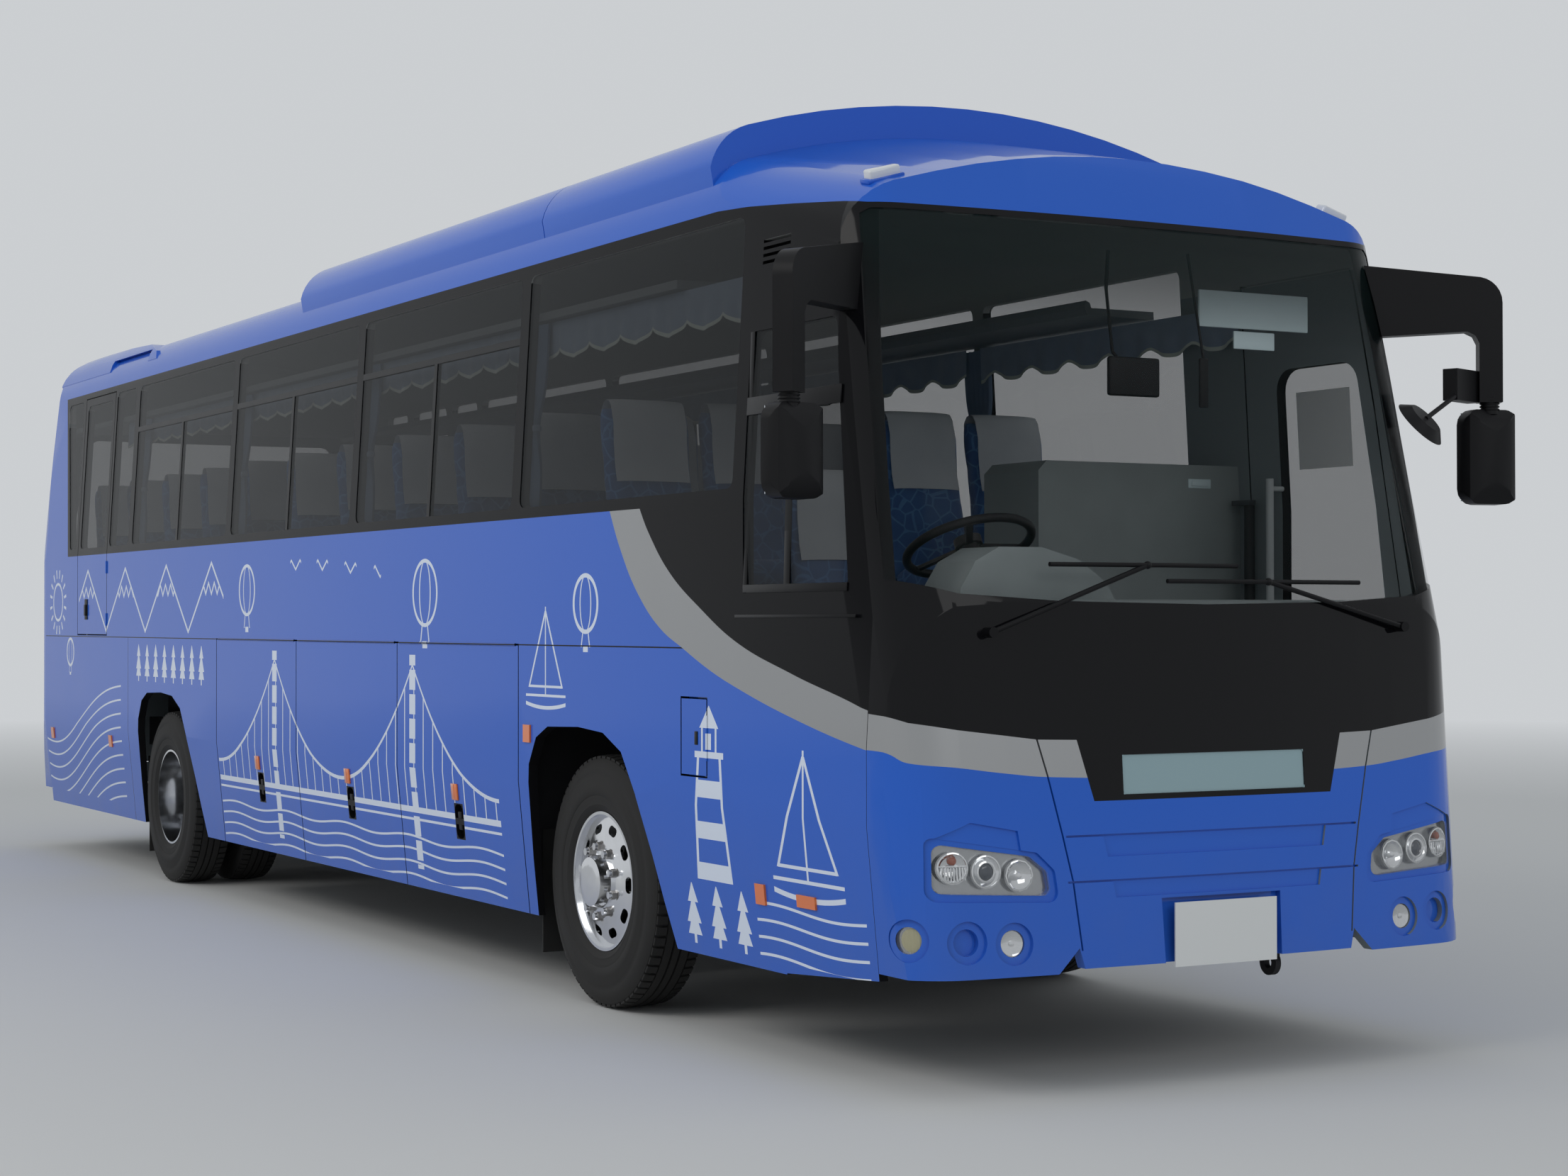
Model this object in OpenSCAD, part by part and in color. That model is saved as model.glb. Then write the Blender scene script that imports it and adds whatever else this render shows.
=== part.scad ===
// Airport passenger coach with high deck, single swing door and luggage bays.
// Millimetres. X to the vehicle's left, Y to the rear, Z up from the ground.
// Places along the vehicle are measured backwards from the front axle.

/* [Body] */
// Length over the two end faces
body_l = 11990; // [11900:10:12100]
// Width over the side panels
body_w = 2490; // [2470:5:2500]
// Front axle to the front face
front_overhang = 2620; // [2600:5:2640]
// Height of the lower edge of the skirts
skirt_z = 330; // [300:5:350]
// Inward lean of each skirt at its lower edge
tuck = 55; // [40:5:70]
// Height where the skirt starts to lean inwards
tuck_z = 900; // [850:10:950]
// Height of the foot of the side windows
belt_z = 2030; // [2010:5:2050]
// Height where the side wall meets the roof
cant_z = 3130; // [3120:5:3145]
// Inward lean of each side wall between belt and roof
tumblehome = 65; // [50:5:80]
// Radius of the roof's side edge
roof_r = 250; // [230:10:270]
// Slope of the roof where its side edge ends
roof_a = 17; // [15:0.5:19]
// Thickness of walls, doors and roof
wall_t = 45; // [38:1:50]
// Gap round doors and lids
door_gap = 8; // [7:0.5:10]

/* [Front and rear faces] */
// Radius of the front face seen from above
nose_r = 10500; // [9500:100:12000]
// Corner radius of the front face
nose_corner_r = 250; // [230:5:270]
// Backward lean of the lower front
nose_lean = 4; // [3:0.5:5]
// Backward lean of the windshield
face_lean = 15; // [14:0.25:16]
// Height of the foot of the windshield
face_z = 1650; // [1640:5:1660]
// Radius of the rear face seen from above
tail_r = 8000; // [7000:100:9000]
// Corner radius of the rear face
tail_corner_r = 350; // [330:5:370]
// Forward lean of the upper rear
tail_lean = 20; // [18:0.5:22]
// Height where the rear face starts to lean
tail_z = 2450; // [2400:10:2500]

/* [Glass] */
// Thickness of the panes
glass_t = 6; // [4:0.5:8]
// Setback of the panes behind the skin
glass_set = 3; // [2:0.5:4]
// Length of one window bay
bay_l = 2046; // [2030:2:2060]
// Width of the posts between the windows
post_w = 90; // [70:5:110]
// Height of the top of the side windows
pane_top_z = 3075; // [3060:5:3085]

/* [Running gear] */
// Distance between the axles
wheelbase = 6080; // [6050:5:6100]
// Height of the wheel centres
wheel_z = 520; // [510:2:530]
// Outer diameter of the tyres
tyre_d = 1040; // [1020:4:1060]
// Width of a tyre
tyre_w = 270; // [255:5:280]
// Diameter of the rim at the tyre beads
rim_d = 580; // [570:2:590]
// Front track between the wheel centres
front_track = 2060; // [2040:5:2070]
// Rear track between the middles of the twin wheels
rear_track = 1820; // [1800:5:1830]
// Distance between the two tyres of a twin
twin_pitch = 325; // [315:5:335]
// Distance between the kingpins
kingpin_w = 1720; // [1700:5:1740]
// Radius of a kingpin
kingpin_r = 25; // [22:1:28]
// Radius of the front and rear wheel spindles
spindle_r = 42; // [38:1:48]
// Number of studs in a wheel
studs = 10; // [8:1:10]

/* [Entrance door] */
// Length of each door arm between its column and the door
arm_l = 416; // [405:1:425]
// Radius of the door arms
arm_r = 16; // [13:0.5:18]
// Radius of the column that carries the arms
column_r = 22; // [20:0.5:26]
// Radius of the pins that carry the door
door_pin_r = 10; // [8:0.5:11]
// Height of the lower arm
arm_low_z = 850; // [840:2:860]
// Height of the upper arm
arm_high_z = 1080; // [1060:5:1090]

/* [Inside] */
// Height of the passenger floor
floor_z = 1330; // [1320:5:1340]
// Thickness of the floors
floor_t = 50; // [40:5:60]
// Height of the driver's floor
cab_z = 980; // [950:10:1000]
// Height of the floor of the luggage bays
bay_z = 430; // [420:5:440]
// Distance between the seat rows
row_pitch = 810; // [790:5:820]
// Number of seat rows
rows = 11; // [9:1:11]
// Width of one passenger seat
seat_w = 450; // [430:5:460]

/* [Hidden] */
$fn = 48;

half_w = body_w / 2;
front_y = -body_l / 2;
rear_y = body_l / 2;
axle_f = front_y + front_overhang;
axle_r = axle_f + wheelbase;
inner_x = half_w - wall_t;
reach = body_l + 2000;
// Rear and front faces, measured behind the front axle
tail = body_l - front_overhang;
nose = -front_overhang;

function at(d) = axle_f + d;

// Points of an arc, from angle a0 to a1; the first point is left out when from = 1
function arc(c, r, a0, a1, n, from = 0) =
    [for (i = [from:n]) let (a = a0 + (a1 - a0) * i / n) [c.x + r * cos(a), c.y + r * sin(a)]];

// Outline with round corners: rows of [x, y, radius], counter-clockwise
function rounded(rows_, n = 5) = [for (i = [0:len(rows_) - 1])
    let (p = rows_[i],
         a = rows_[(i + len(rows_) - 1) % len(rows_)],
         b = rows_[(i + 1) % len(rows_)],
         u = [a.x - p.x, a.y - p.y] / norm([a.x - p.x, a.y - p.y]),
         v = [b.x - p.x, b.y - p.y] / norm([b.x - p.x, b.y - p.y]),
         half_a = acos(u * v) / 2,
         m = (u + v) / norm(u + v),
         c = [p.x, p.y] + m * p.z / sin(half_a),
         first = [p.x, p.y] + u * p.z / tan(half_a) - c,
         s = atan2(first.y, first.x),
         turn = 180 - 2 * half_a)
    for (q = arc(c, p.z, s, s + turn, n)) q];

// Outlines of the body

cant_x = half_w - tumblehome;
cant_a = atan(tumblehome / (cant_z - belt_z));
edge_c = [cant_x - roof_r * cos(cant_a), cant_z - roof_r * sin(cant_a)];
crown_r = (edge_c.x + roof_r * sin(roof_a)) / sin(roof_a);
crown_c = [0, edge_c.y + roof_r * cos(roof_a) - crown_r * cos(roof_a)];
crown_z = crown_c.y + crown_r;

// Right half of the cross-section, set inwards by t
function section_half(t) = concat(
    [[half_w - tuck - t, skirt_z - (t > 0 ? 200 : 0)],
     [half_w - t, tuck_z],
     [half_w - t, belt_z]],
    arc(edge_c, roof_r - t, cant_a, 90 - roof_a, 7),
    arc(crown_c, crown_r - t, 90 - roof_a, 90, 6, 1));

function section(t) = let (h = section_half(t)) concat(h,
    [for (i = [len(h) - 2:-1:0]) [-h[i].x, h[i].y]]);

// Plan of an end face with its foremost point at the origin, open to +Y
function end_plan(t, half, r, corner_r, end_a) =
    let (a = asin((half - corner_r) / (r - corner_r)),
         c = [half - corner_r, r - (r - corner_r) * cos(a)],
         h = concat(arc([0, r], r - t, -90, -90 + a, 6),
                    arc(c, corner_r - t, -90 + a, end_a - 90, 8, 1)),
         last = h[len(h) - 1])
    concat([for (i = [1:len(h) - 1]) h[i]], [last + reach * [cos(end_a), sin(end_a)]],
           [[-last.x - reach * cos(end_a), last.y + reach * sin(end_a)]],
           [for (i = [len(h) - 1:-1:0]) [-h[i].x, h[i].y]]);

module leaning(y, z, a) translate([0, y, z]) rotate([-a, 0, 0])
    translate([0, 0, -5000]) linear_extrude(10000) children();

face_half = half_w - 20;
nose_y = front_y + (face_z - 500) * tan(nose_lean);
tail_top_y = rear_y - 30;

// Side outline of the roof's front and rear, tangent to the two end faces
roof_line_z = crown_z + 60;
roof_end_r = 600;
function roof_end_y(y0, z0, lean) =
    y0 + (roof_end_r + (roof_line_z - roof_end_r - z0) * sin(lean)) / cos(lean);
roof_front_c = [roof_end_y(nose_y, face_z, face_lean), roof_line_z - roof_end_r];
roof_rear_c = [-roof_end_y(-tail_top_y, tail_z, tail_lean), roof_line_z - roof_end_r];
function roof_line(t) = let (
    f = arc(roof_front_c, roof_end_r - t, 180 - face_lean, 90, 7),
    b = arc(roof_rear_c, roof_end_r - t, 90, tail_lean, 7))
    concat([f[0] - 5000 * [sin(face_lean), cos(face_lean)]], f, b,
           [b[7] + 5000 * [sin(tail_lean), -cos(tail_lean)]]);

// The roof slopes down at the front: rows of [place, rise above the level roof, slope]
roof_slopes = [[-1018, 0, 12.4]];
fairing_slopes = [[-200, 121, 3.6], [-500, 93, 7.1], [-750, 55, 10], [-1018, 0.5, 12.3],
                  [2800, 120, -4], [3740, 0.5, -8.4]];
slope_room = 10;
module sloped(row, t) {
    half = concat([[1700, -body_l], [1700, 2400]],
        arc(edge_c + [slope_room, 0], roof_r - t, cant_a, 90 - roof_a, 7),
        arc(crown_c, crown_r - t, 90 - roof_a, 90, 6, 1));
    translate([0, at(row[0]), crown_z + row[1]]) rotate([row[2], 0, 0]) translate([0, 0, -crown_z])
        rotate([90, 0, 0]) linear_extrude(4 * body_l, center = true)
        polygon(concat(half, [for (i = [len(half) - 2:-1:0]) [-half[i].x, half[i].y]]));
}

// The body's outer form, set inwards by t
module form(t) {
    intersection() {
        translate([0, rear_y + 500, 0]) rotate([90, 0, 0])
            linear_extrude(body_l + 1000) polygon(section(t));
        leaning(front_y, 500, nose_lean)
            polygon(end_plan(t, half_w + 3, nose_r, nose_corner_r, 89));
        leaning(nose_y, face_z, face_lean)
            polygon(end_plan(t, face_half, nose_r, nose_corner_r, 78));
        translate([0, rear_y, 0]) rotate([0, 0, 180])
            linear_extrude(5000) polygon(end_plan(t, half_w + 3, tail_r, tail_corner_r, 89));
        translate([0, tail_top_y, tail_z]) rotate([tail_lean, 0, 0]) rotate([0, 0, 180])
            translate([0, 0, -5000]) linear_extrude(10000)
            polygon(end_plan(t, face_half, tail_r, tail_corner_r, 78));
        rotate([90, 0, 90]) translate([0, 0, -2000]) linear_extrude(4000) polygon(roof_line(t));
        for (row = roof_slopes) sloped(row, t);
    }
}

// A layer of the body between two depths below the skin
module layer(t0, t1) difference() { form(t0); form(t1); }

// A slab seen from the side: points of [place behind the front axle, height]
module side_slab(points, x0, x1) rotate([90, 0, 90]) translate([0, 0, x0])
    linear_extrude(x1 - x0) polygon([for (p = points) [at(p.x), p.y]]);

module side_cut(points, side) {
    if (side < 0) side_slab(points, -2000, -700);
    else side_slab(points, 700, 2000);
}

// A slab seen from the front: points of [x, height]
module front_cut(points, y0, y1) translate([0, y1, 0]) rotate([90, 0, 0])
    linear_extrude(y1 - y0) polygon(points);

function box_points(y0, y1, z0, z1) = [[y0, z0], [y1, z0], [y1, z1], [y0, z1]];
function rect(b, r) = rounded([[b[0], b[2], r], [b[1], b[2], r], [b[1], b[3], r], [b[0], b[3], r]]);

// Places of seams and openings

corner_seam = nose + 325;
rear_seam = tail - 410;
roof_seam_z = 3125;
// The roof's lower edge dips towards the front
roof_seam = [[-3200, 3031], [-2080, 3033], [-1971, 3048], [-1660, 3081], [-1350, 3110], [-1100, roof_seam_z],
             [tail + 600, roof_seam_z]];
module roof_zone() side_slab(concat(roof_seam, [[tail + 600, 4000], [-3200, 4000]]), -2000, 2000);
band_z = 1487;
first_post = -1378;
bays = floor((tail - 2223 - first_post) / bay_l);
posts = [for (i = [0:bays]) first_post + i * bay_l];
pane_foot_z = belt_z + 45;

// Front zone ahead of the corner seam, seen from the side
seam_lean = 0.203;
function seam_at(z) = corner_seam + seam_lean * max(0, z - (face_z - 50));
front_zone = [[-3200, 200], [corner_seam, 200], [corner_seam, face_z - 50],
              [seam_at(roof_seam_z), roof_seam_z], [seam_at(roof_seam_z), 3800], [-3200, 3800]];

// The skirt rises ahead of the front wheel
front_foot = [[-1650, skirt_z - 20], [-1650, skirt_z + 5], [corner_seam, 381], [corner_seam, skirt_z - 20]];

// Luggage doors: [front edge, rear edge]
luggage_y = [[626, 2080], [2080, 3560], [3560, wheelbase - 1122]];
// Emergency door on the right: front, rear, foot, top
emergency = [tail - 2023, tail - 1280, 1495, 3090];
// Filler door on the right
filler = [-1135, -923, 1007, 1300];
// Entrance on the left
entrance_rear = nose + 1330;
entrance_front = nose + 420;
entrance = [[entrance_front, 400], [entrance_rear, 400], [entrance_rear, 2960],
            [seam_at(2960) + 45, 2960], [entrance_front, face_z]];
entrance_pane = rounded([[entrance_front + 100, 1180, 90], [entrance_rear - 200, 1180, 90],
                         [entrance_rear - 200, 2600, 90], [entrance_front + 235, 2600, 90],
                         [entrance_front + 100, 1650, 200]]);
// Column of the entrance door, how far it turns, and the door's pins when shut
step_z = 490;
stair_x = 500;
stair_end = entrance_rear + 60;
column_foot_z = 790;
column_top_z = 2060;
column_at = [half_w - 85, entrance_rear - 38];
door_turn = 150;
pin_angle = -94;
pin_at = column_at + arm_l * [cos(pin_angle), sin(pin_angle)];
elbow_l = 130;
run_gap = 0.3;
pin_gap = 0.05;
driver_pane = rounded([[nose + 450, 1690, 40], [nose + 1200, 1690, 40], [nose + 1200, 2640, 40],
                       [nose + 575, 2640, 40]]);
quarter_pane = rounded([[tail - 1220, pane_foot_z, 40], [tail - 1061, pane_foot_z, 40],
                        [tail - 806, pane_top_z, 40], [tail - 1220, pane_top_z, 40]]);

// Arch outline round an axle, [behind the axle, height]
arch = [[-800, 200], [-785, 331], [-705, 503], [-633, 677], [-523, 908], [-393, 1070],
        [-223, 1140], [13, 1155], [320, 1146], [440, 1096], [515, 980], [535, 574],
        [530, 200]];
function arch_at(d) = [for (p = arch) [d + p.x, p.y]];

module bay_panes(side) {
    for (i = [0:bays - 1])
        side_cut(rect([i == 0 && side > 0 ? entrance_rear + 400 : posts[i] + post_w / 2,
                       posts[i + 1] - post_w / 2, pane_foot_z, pane_top_z], 40), side);
    side_cut(rect([posts[bays] + post_w / 2, emergency[0] - post_w / 2,
                   pane_foot_z, pane_top_z], 40), side);
    side_cut(quarter_pane, side);
}

module emergency_pane(side)
    side_cut(rect([emergency[0] + 60, emergency[1] - 60, pane_foot_z, pane_top_z - 40], 40), side);

// Hinge rod along Y or Z at the skin
module luggage_hinge(side, g) for (b = luggage_y)
    translate([side * half_w, at(b[0] + 30), band_z]) rotate([-90, 0, 0])
        cylinder(h = b[1] - b[0] - 60, r = 6 + g);

// Two hinge rods along the top edge of the engine lid
module lid_hinge(g) for (x = [-300, 120]) translate([x, lid_axis_y, engine_lid_z[1]])
    rotate([0, 90, 0]) translate([0, 0, -(g > 0 ? 2 : 0)]) cylinder(h = 180 + (g > 0 ? 4 : 0), r = 9 + g);

module filler_hinge(g) translate([-half_w, at(filler[0]), filler[2] + 60 - (g > 0 ? 2 : 0)])
    cylinder(h = 170 + (g > 0 ? 4 : 0), r = 6 + g);

module upright_hinge(d, z0, z1, g) for (z = [z0, z1])
    translate([-half_w, at(d), z - (g > 0 ? 2 : 0)]) cylinder(h = 80 + (g > 0 ? 4 : 0), r = 9 + g);

// Marker lamps: [place, foot, length, height]
side_lamps = [[491, 1072, 70, 75], [nose + 1078, 567, 70, 75], [nose + 712, 584, 130, 45],
              [tail - 2143, 776, 70, 75], [tail - 628, 776, 70, 75]];
lamp_rise = 8;
module side_lamp(side, m) intersection() {
    layer(-lamp_rise, 0);
    side_cut(box_points(m[0], m[0] + m[2], m[1], m[1] + m[3]), side);
}
module marker_lamps() color("orange") {
    for (m = side_lamps) side_lamp(-1, m);
    for (m = side_lamps) if (m[0] + m[2] < entrance_front || m[0] > surround_seam) side_lamp(1, m);
}

// Pull recess of a luggage door: [place of its middle, height of its middle]
pulls = [[1341, 680], [2771, 680], [4194, 680]];
module pull_recess(side, i) intersection() {
    layer(-5, 26);
    side_cut(rounded([[pulls[i][0] - 48, pulls[i][1] - 78, 34], [pulls[i][0] + 48, pulls[i][1] - 78, 34],
                      [pulls[i][0] + 48, pulls[i][1] + 78, 34], [pulls[i][0] - 48, pulls[i][1] + 78, 34]], 3),
             side);
}
module pull_bar(side, i) intersection() {
    layer(0, 26);
    side_cut(box_points(pulls[i][0] - 48, pulls[i][0] + 48, pulls[i][1] - 14, pulls[i][1] + 14), side);
}

module side_wall(side) {
    difference() {
        intersection() {
            layer(0, wall_t);
            side_cut(box_points(corner_seam - 400, rear_seam, skirt_z - 10, roof_seam_z), side);
        }
        roof_zone();
        side_cut(front_foot, side);
        side_cut(front_zone, side);
        bay_panes(side);
        side_cut(arch_at(0), side);
        side_cut(arch_at(wheelbase), side);
        side_cut(box_points(luggage_y[0][0] - door_gap / 2, luggage_y[2][1] + door_gap / 2,
                            200, band_z + door_gap / 2), side);
        if (side < 0) {
            side_cut(driver_pane, side);
            side_cut(box_points(emergency[0] - door_gap / 2, emergency[1] + door_gap / 2,
                                emergency[2], emergency[3]), side);
            intersection() {
                side_cut(box_points(filler[0] - door_gap / 2, filler[1] + door_gap / 2,
                                    filler[2] - door_gap / 2, filler[3] + door_gap / 2), side);
                layer(-50, wall_t - 7);
            }
            for (i = [0:3]) side_cut([[-1684, 2880 + 26 * i], [-1482, 2880 + 26 * i],
                                      [-1482, 2892 + 26 * i], [-1684, 2892 + 26 * i]], side);
        } else {
            side_cut(entrance, side);
            side_cut(rect([emergency[0] + 60, emergency[1] - 60,
                           pane_foot_z, pane_top_z], 40), side);
        }
    }
}

module side_wall_right() color("royalblue") union() {
    side_wall(-1);
    luggage_hinge(-1, 0);
    upright_hinge(emergency[0], 1560, 1900, 0);
    filler_hinge(0);
}

// Seam between the entrance's surround and the left wall
surround_seam = entrance_rear + 40;
module side_wall_left() color("royalblue") union() {
    difference() {
        side_wall(1);
        side_cut(box_points(nose, surround_seam, 0, 4000), 1);
    }
    luggage_hinge(1, 0);
}

module entrance_surround() color("royalblue") intersection() {
    side_wall(1);
    side_cut(box_points(nose, surround_seam, 0, 4000), 1);
}

module luggage_door(side, i) color("royalblue") difference() {
    intersection() {
        layer(0, wall_t);
        side_cut(box_points(luggage_y[i][0] + door_gap / 2, luggage_y[i][1] - door_gap / 2,
                            skirt_z - 10, band_z - door_gap / 2), side);
    }
    luggage_hinge(side, run_gap);
    difference() { pull_recess(side, i); pull_bar(side, i); }
}

module luggage_door_right_1() luggage_door(-1, 0);
module luggage_door_right_2() luggage_door(-1, 1);
module luggage_door_right_3() luggage_door(-1, 2);
module luggage_door_left_1() luggage_door(1, 0);
module luggage_door_left_2() luggage_door(1, 1);
module luggage_door_left_3() luggage_door(1, 2);

module emergency_door() color("royalblue") difference() {
    intersection() {
        layer(0, wall_t);
        side_cut(box_points(emergency[0] + door_gap / 2, emergency[1] - door_gap / 2,
                            emergency[2] + door_gap, emergency[3] - door_gap), -1);
    }
    emergency_pane(-1);
    upright_hinge(emergency[0], 1560, 1900, run_gap);
}

module filler_door() color("royalblue") difference() {
    intersection() {
        layer(0, 20);
        side_cut(box_points(filler[0] + door_gap / 2, filler[1] - door_gap / 2,
                            filler[2] + door_gap / 2, filler[3] - door_gap / 2), -1);
    }
    filler_hinge(run_gap);
}

// The entrance outline drawn in by g on every side
function entrance_in(g) = [[entrance[0].x + g, entrance[0].y + g], [entrance_rear - g, entrance[0].y + g],
                           [entrance_rear - g, entrance[2].y - g], [entrance[3].x + g, entrance[3].y - g],
                           [entrance[4].x + g, entrance[4].y]];

// Brackets on the door's inner face, with a pin through the eye of each arm
module door_brackets() for (z = [arm_low_z, arm_high_z]) {
    for (k = [-1, 1]) translate([pin_at.x - 20, at(pin_at.y) - 20, z + k * (arm_r + 3 + run_gap + 8) - 8])
        cube([inner_x - pin_at.x + 30, 40, 16]);
    translate([pin_at.x, at(pin_at.y), z - arm_r - 10]) cylinder(h = 2 * arm_r + 20, r = door_pin_r - pin_gap);
}

module entrance_door() color("royalblue") union() {
    difference() {
        intersection() {
            layer(0, wall_t);
            side_cut(entrance_in(door_gap), 1);
        }
        side_cut(entrance_pane, 1);
    }
    intersection() {
        form(wall_t / 2);
        door_brackets();
    }
}

module glass(t0 = glass_set) intersection() {
    layer(t0, t0 + glass_t);
    children();
}

module windows_right() color("dimgray") glass() {
    union() {
        bay_panes(-1);
        side_cut(driver_pane, -1);
    }
}
module windows_left() color("dimgray") glass() {
    union() {
        bay_panes(1);
        side_cut(rect([emergency[0] + 60, emergency[1] - 60,
                       pane_foot_z, pane_top_z], 40), 1);
    }
}
// Transom and meeting sashes of the sliding windows in bays 2 to 4
transom_z = [2786, 2817];
sash_w = 36;
frame_depth = 22;
module window_frames() color("black") intersection() {
    union() {
        layer(0, glass_set);
        layer(glass_set + glass_t, frame_depth);
    }
    for (s = [-1, 1], i = [1:bays - 1]) {
        side_cut(box_points(posts[i] + post_w / 2, posts[i + 1] - post_w / 2, transom_z[0], transom_z[1]), s);
        side_cut(box_points(posts[i] + bay_l / 2 - sash_w / 2, posts[i] + bay_l / 2 + sash_w / 2,
                            pane_foot_z, transom_z[0]), s);
    }
}
module emergency_window() color("dimgray") glass() emergency_pane(-1);
module entrance_window() color("dimgray") glass() side_cut(entrance_pane, 1);

// Ends and roof

windshield_half = [[0, 1645], [600, 1655], [1000, 1680], [1225, 1735], [1168, 2940], [1150, 2985],
                   [1105, 3012], [0, 3008]];
module windshield_cut() intersection() {
    front_cut(mirrored_ring(windshield_half), front_y - 100, axle_f);
    side_slab([[-3200, 1500], [seam_at(1500) - 55, 1500], [seam_at(face_z) - 55, face_z],
               [seam_at(3100) - 55, 3100], [-3200, 3100]], -2000, 2000);
}
function mirrored_ring(h) = concat(h, [for (i = [len(h) - 2:-1:1]) [-h[i].x, h[i].y]]);

// Edge between the black mask and the bumper, from the middle to the corner
mask_edge = [[0, 978], [515, 978], [575, 1186], [730, 1190], [850, 1205], [1030, 1227], [1175, 1251],
             [1262, 1288], [2000, 1288]];
// Lower edge of the bumper, from the corner to the middle
bumper_foot = [[2000, 407], [681, 407], [597, 490], [578, 420], [0, 420]];
// Window of the destination display in the mask
display = rect([-395, 395, 997, 1132], 12);
// Seam beside the middle bumper, from the band down
bumper_seam = [[733, 1200], [694, 1066], [645, 864], [612, 713], [586, 480]];
groove = 7;
// Steps of the middle bumper: [height of the groove, half width there, foot, half width there]
bumper_steps = [[866, 486, 790, 470], [713, 455, 652, 443]];
plate_recess = [[-250, 300], [250, 300], [258, 641], [-258, 641]];

module front_piece() intersection() {
    layer(0, wall_t);
    side_slab(front_zone, -2000, 2000);
    children();
}
module front_mark(points, depth) intersection() {
    layer(-5, depth);
    front_cut(points, front_y - 100, at(nose + 620));
}

module front_panel() color("black") difference() {
    front_piece() front_cut(mirrored_ring(concat(mask_edge, [[2000, roof_seam_z], [0, roof_seam_z]])),
                            front_y - 100, axle_f);
    windshield_cut();
    roof_zone();
    front_mark(display, 4);
}

module windshield() color("dimgray") glass() windshield_cut();

headlamp = [[697, 668], [1125, 690], [1122, 853], [775, 802], [710, 750]];
headlamp_shape = rounded([for (p = headlamp) [p.x, p.y, 28]]);
// Sunk surround and brow of a headlamp
surround = rounded([[668, 645, 34], [1152, 664, 40], [1148, 876, 24], [748, 814, 30], [682, 752, 30]]);
brow = [[806, 806], [818, 888], [995, 921], [1128, 868]];
// Round units behind the headlamp's glass: middle, radius
units = [[814, 740, 56], [938, 757, 58], [1058, 772, 56]];
// Fog lamps: middle, turn of the lamp outwards
foglamp_at = [[847, 516, 0], [1186, 535, 38]];
blank_at = [1020, 527, 0];
foglamp_r = 45;

plate_y = front_y - 14;
plate_z = 515.5;
plate_size = [440, 220];
module front_round(s, p, r) translate([s * p.x, at(nose + (p.z > 0 ? 158 : 320)), p.y])
    rotate([0, 0, s * p.z]) translate([0, p.z > 0 ? 70 : 0, 0]) rotate([90, 0, 0])
    cylinder(h = p.z > 0 ? 170 : 500, r = r, $fn = 24);
function turned(s, points) = [for (p = points) [s * p.x, p.y]];

module front_bumper() color("royalblue") union() {
    difference() {
        front_piece() front_cut(mirrored_ring(concat(mask_edge, bumper_foot)), front_y - 100, axle_f);
        for (s = [-1, 1]) {
            front_cut(turned(s, headlamp_shape), front_y - 100, at(nose + 620));
            front_mark(turned(s, surround), 10);
            front_mark(turned(s, brow), 8);
            for (p = foglamp_at) {
                front_round(s, p, foglamp_r);
                intersection() { layer(-5, 12); front_round(s, p, foglamp_r + 26); }
            }
            intersection() { layer(-5, 12); front_round(s, blank_at, foglamp_r + 26); }
            intersection() { layer(-5, 34); front_round(s, blank_at, foglamp_r); }
            front_mark(turned(s, concat([for (p = bumper_seam) [p.x - groove / 2, p.y]],
                [for (i = [len(bumper_seam) - 1:-1:0])
                    [bumper_seam[i].x + groove / 2, bumper_seam[i].y]])), 12);
        }
        for (g = bumper_steps) {
            front_mark([[-bumper_seam[3].x - 20, g[0] - groove], [bumper_seam[3].x + 20, g[0] - groove],
                        [bumper_seam[3].x + 20, g[0]], [-bumper_seam[3].x - 20, g[0]]], 12);
            front_mark([[-g[3], g[2]], [g[3], g[2]], [g[1], g[0]], [-g[1], g[0]]], 9);
        }
        front_mark(plate_recess, 25);
    }
    // Number plate on its holder
    translate([-plate_size.x / 2, plate_y, plate_z - plate_size.y / 2]) cube([plate_size.x, 6, plate_size.y]);
    translate([-150, plate_y + 3, plate_z - 70]) cube([300, 45, 140]);
}

module lamp_zone(t0, t1) intersection() {
    layer(t0, t1);
    for (s = [-1, 1]) front_cut(turned(s, headlamp_shape), front_y - 100, at(nose + 620));
}
module fog_zone(t0, t1) intersection() {
    layer(t0, t1);
    for (s = [-1, 1], p = foglamp_at) front_round(s, p, foglamp_r);
}
module front_lamps() color("white") {
    lamp_zone(30, wall_t);
    fog_zone(22, wall_t);
    for (s = [-1, 1], u = units) difference() {
        intersection() { layer(10, 32); front_round(s, [u.x, u.y, 0], u[2]); }
        intersection() { layer(5, 25); front_round(s, [u.x, u.y, 0], u[2] - 8); }
    }
}
// The glass has a rim that seats in the bumper
function inset(points, c, t) = [for (p = points) [p.x + sign(c.x - p.x) * t, p.y + sign(c.y - p.y) * t, 15]];
module lamp_glass() color("white") {
    lamp_zone(1, 4);
    intersection() {
        layer(3, 16);
        for (s = [-1, 1]) difference() {
            front_cut(turned(s, headlamp_shape), front_y - 100, at(nose + 620));
            front_cut(turned(s, rounded(inset(headlamp, units[1], 5))), front_y - 200, at(nose + 700));
        }
    }
    fog_zone(14, 18);
}

module roof() color("royalblue") intersection() {
    layer(0, wall_t);
    roof_zone();
}

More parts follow.
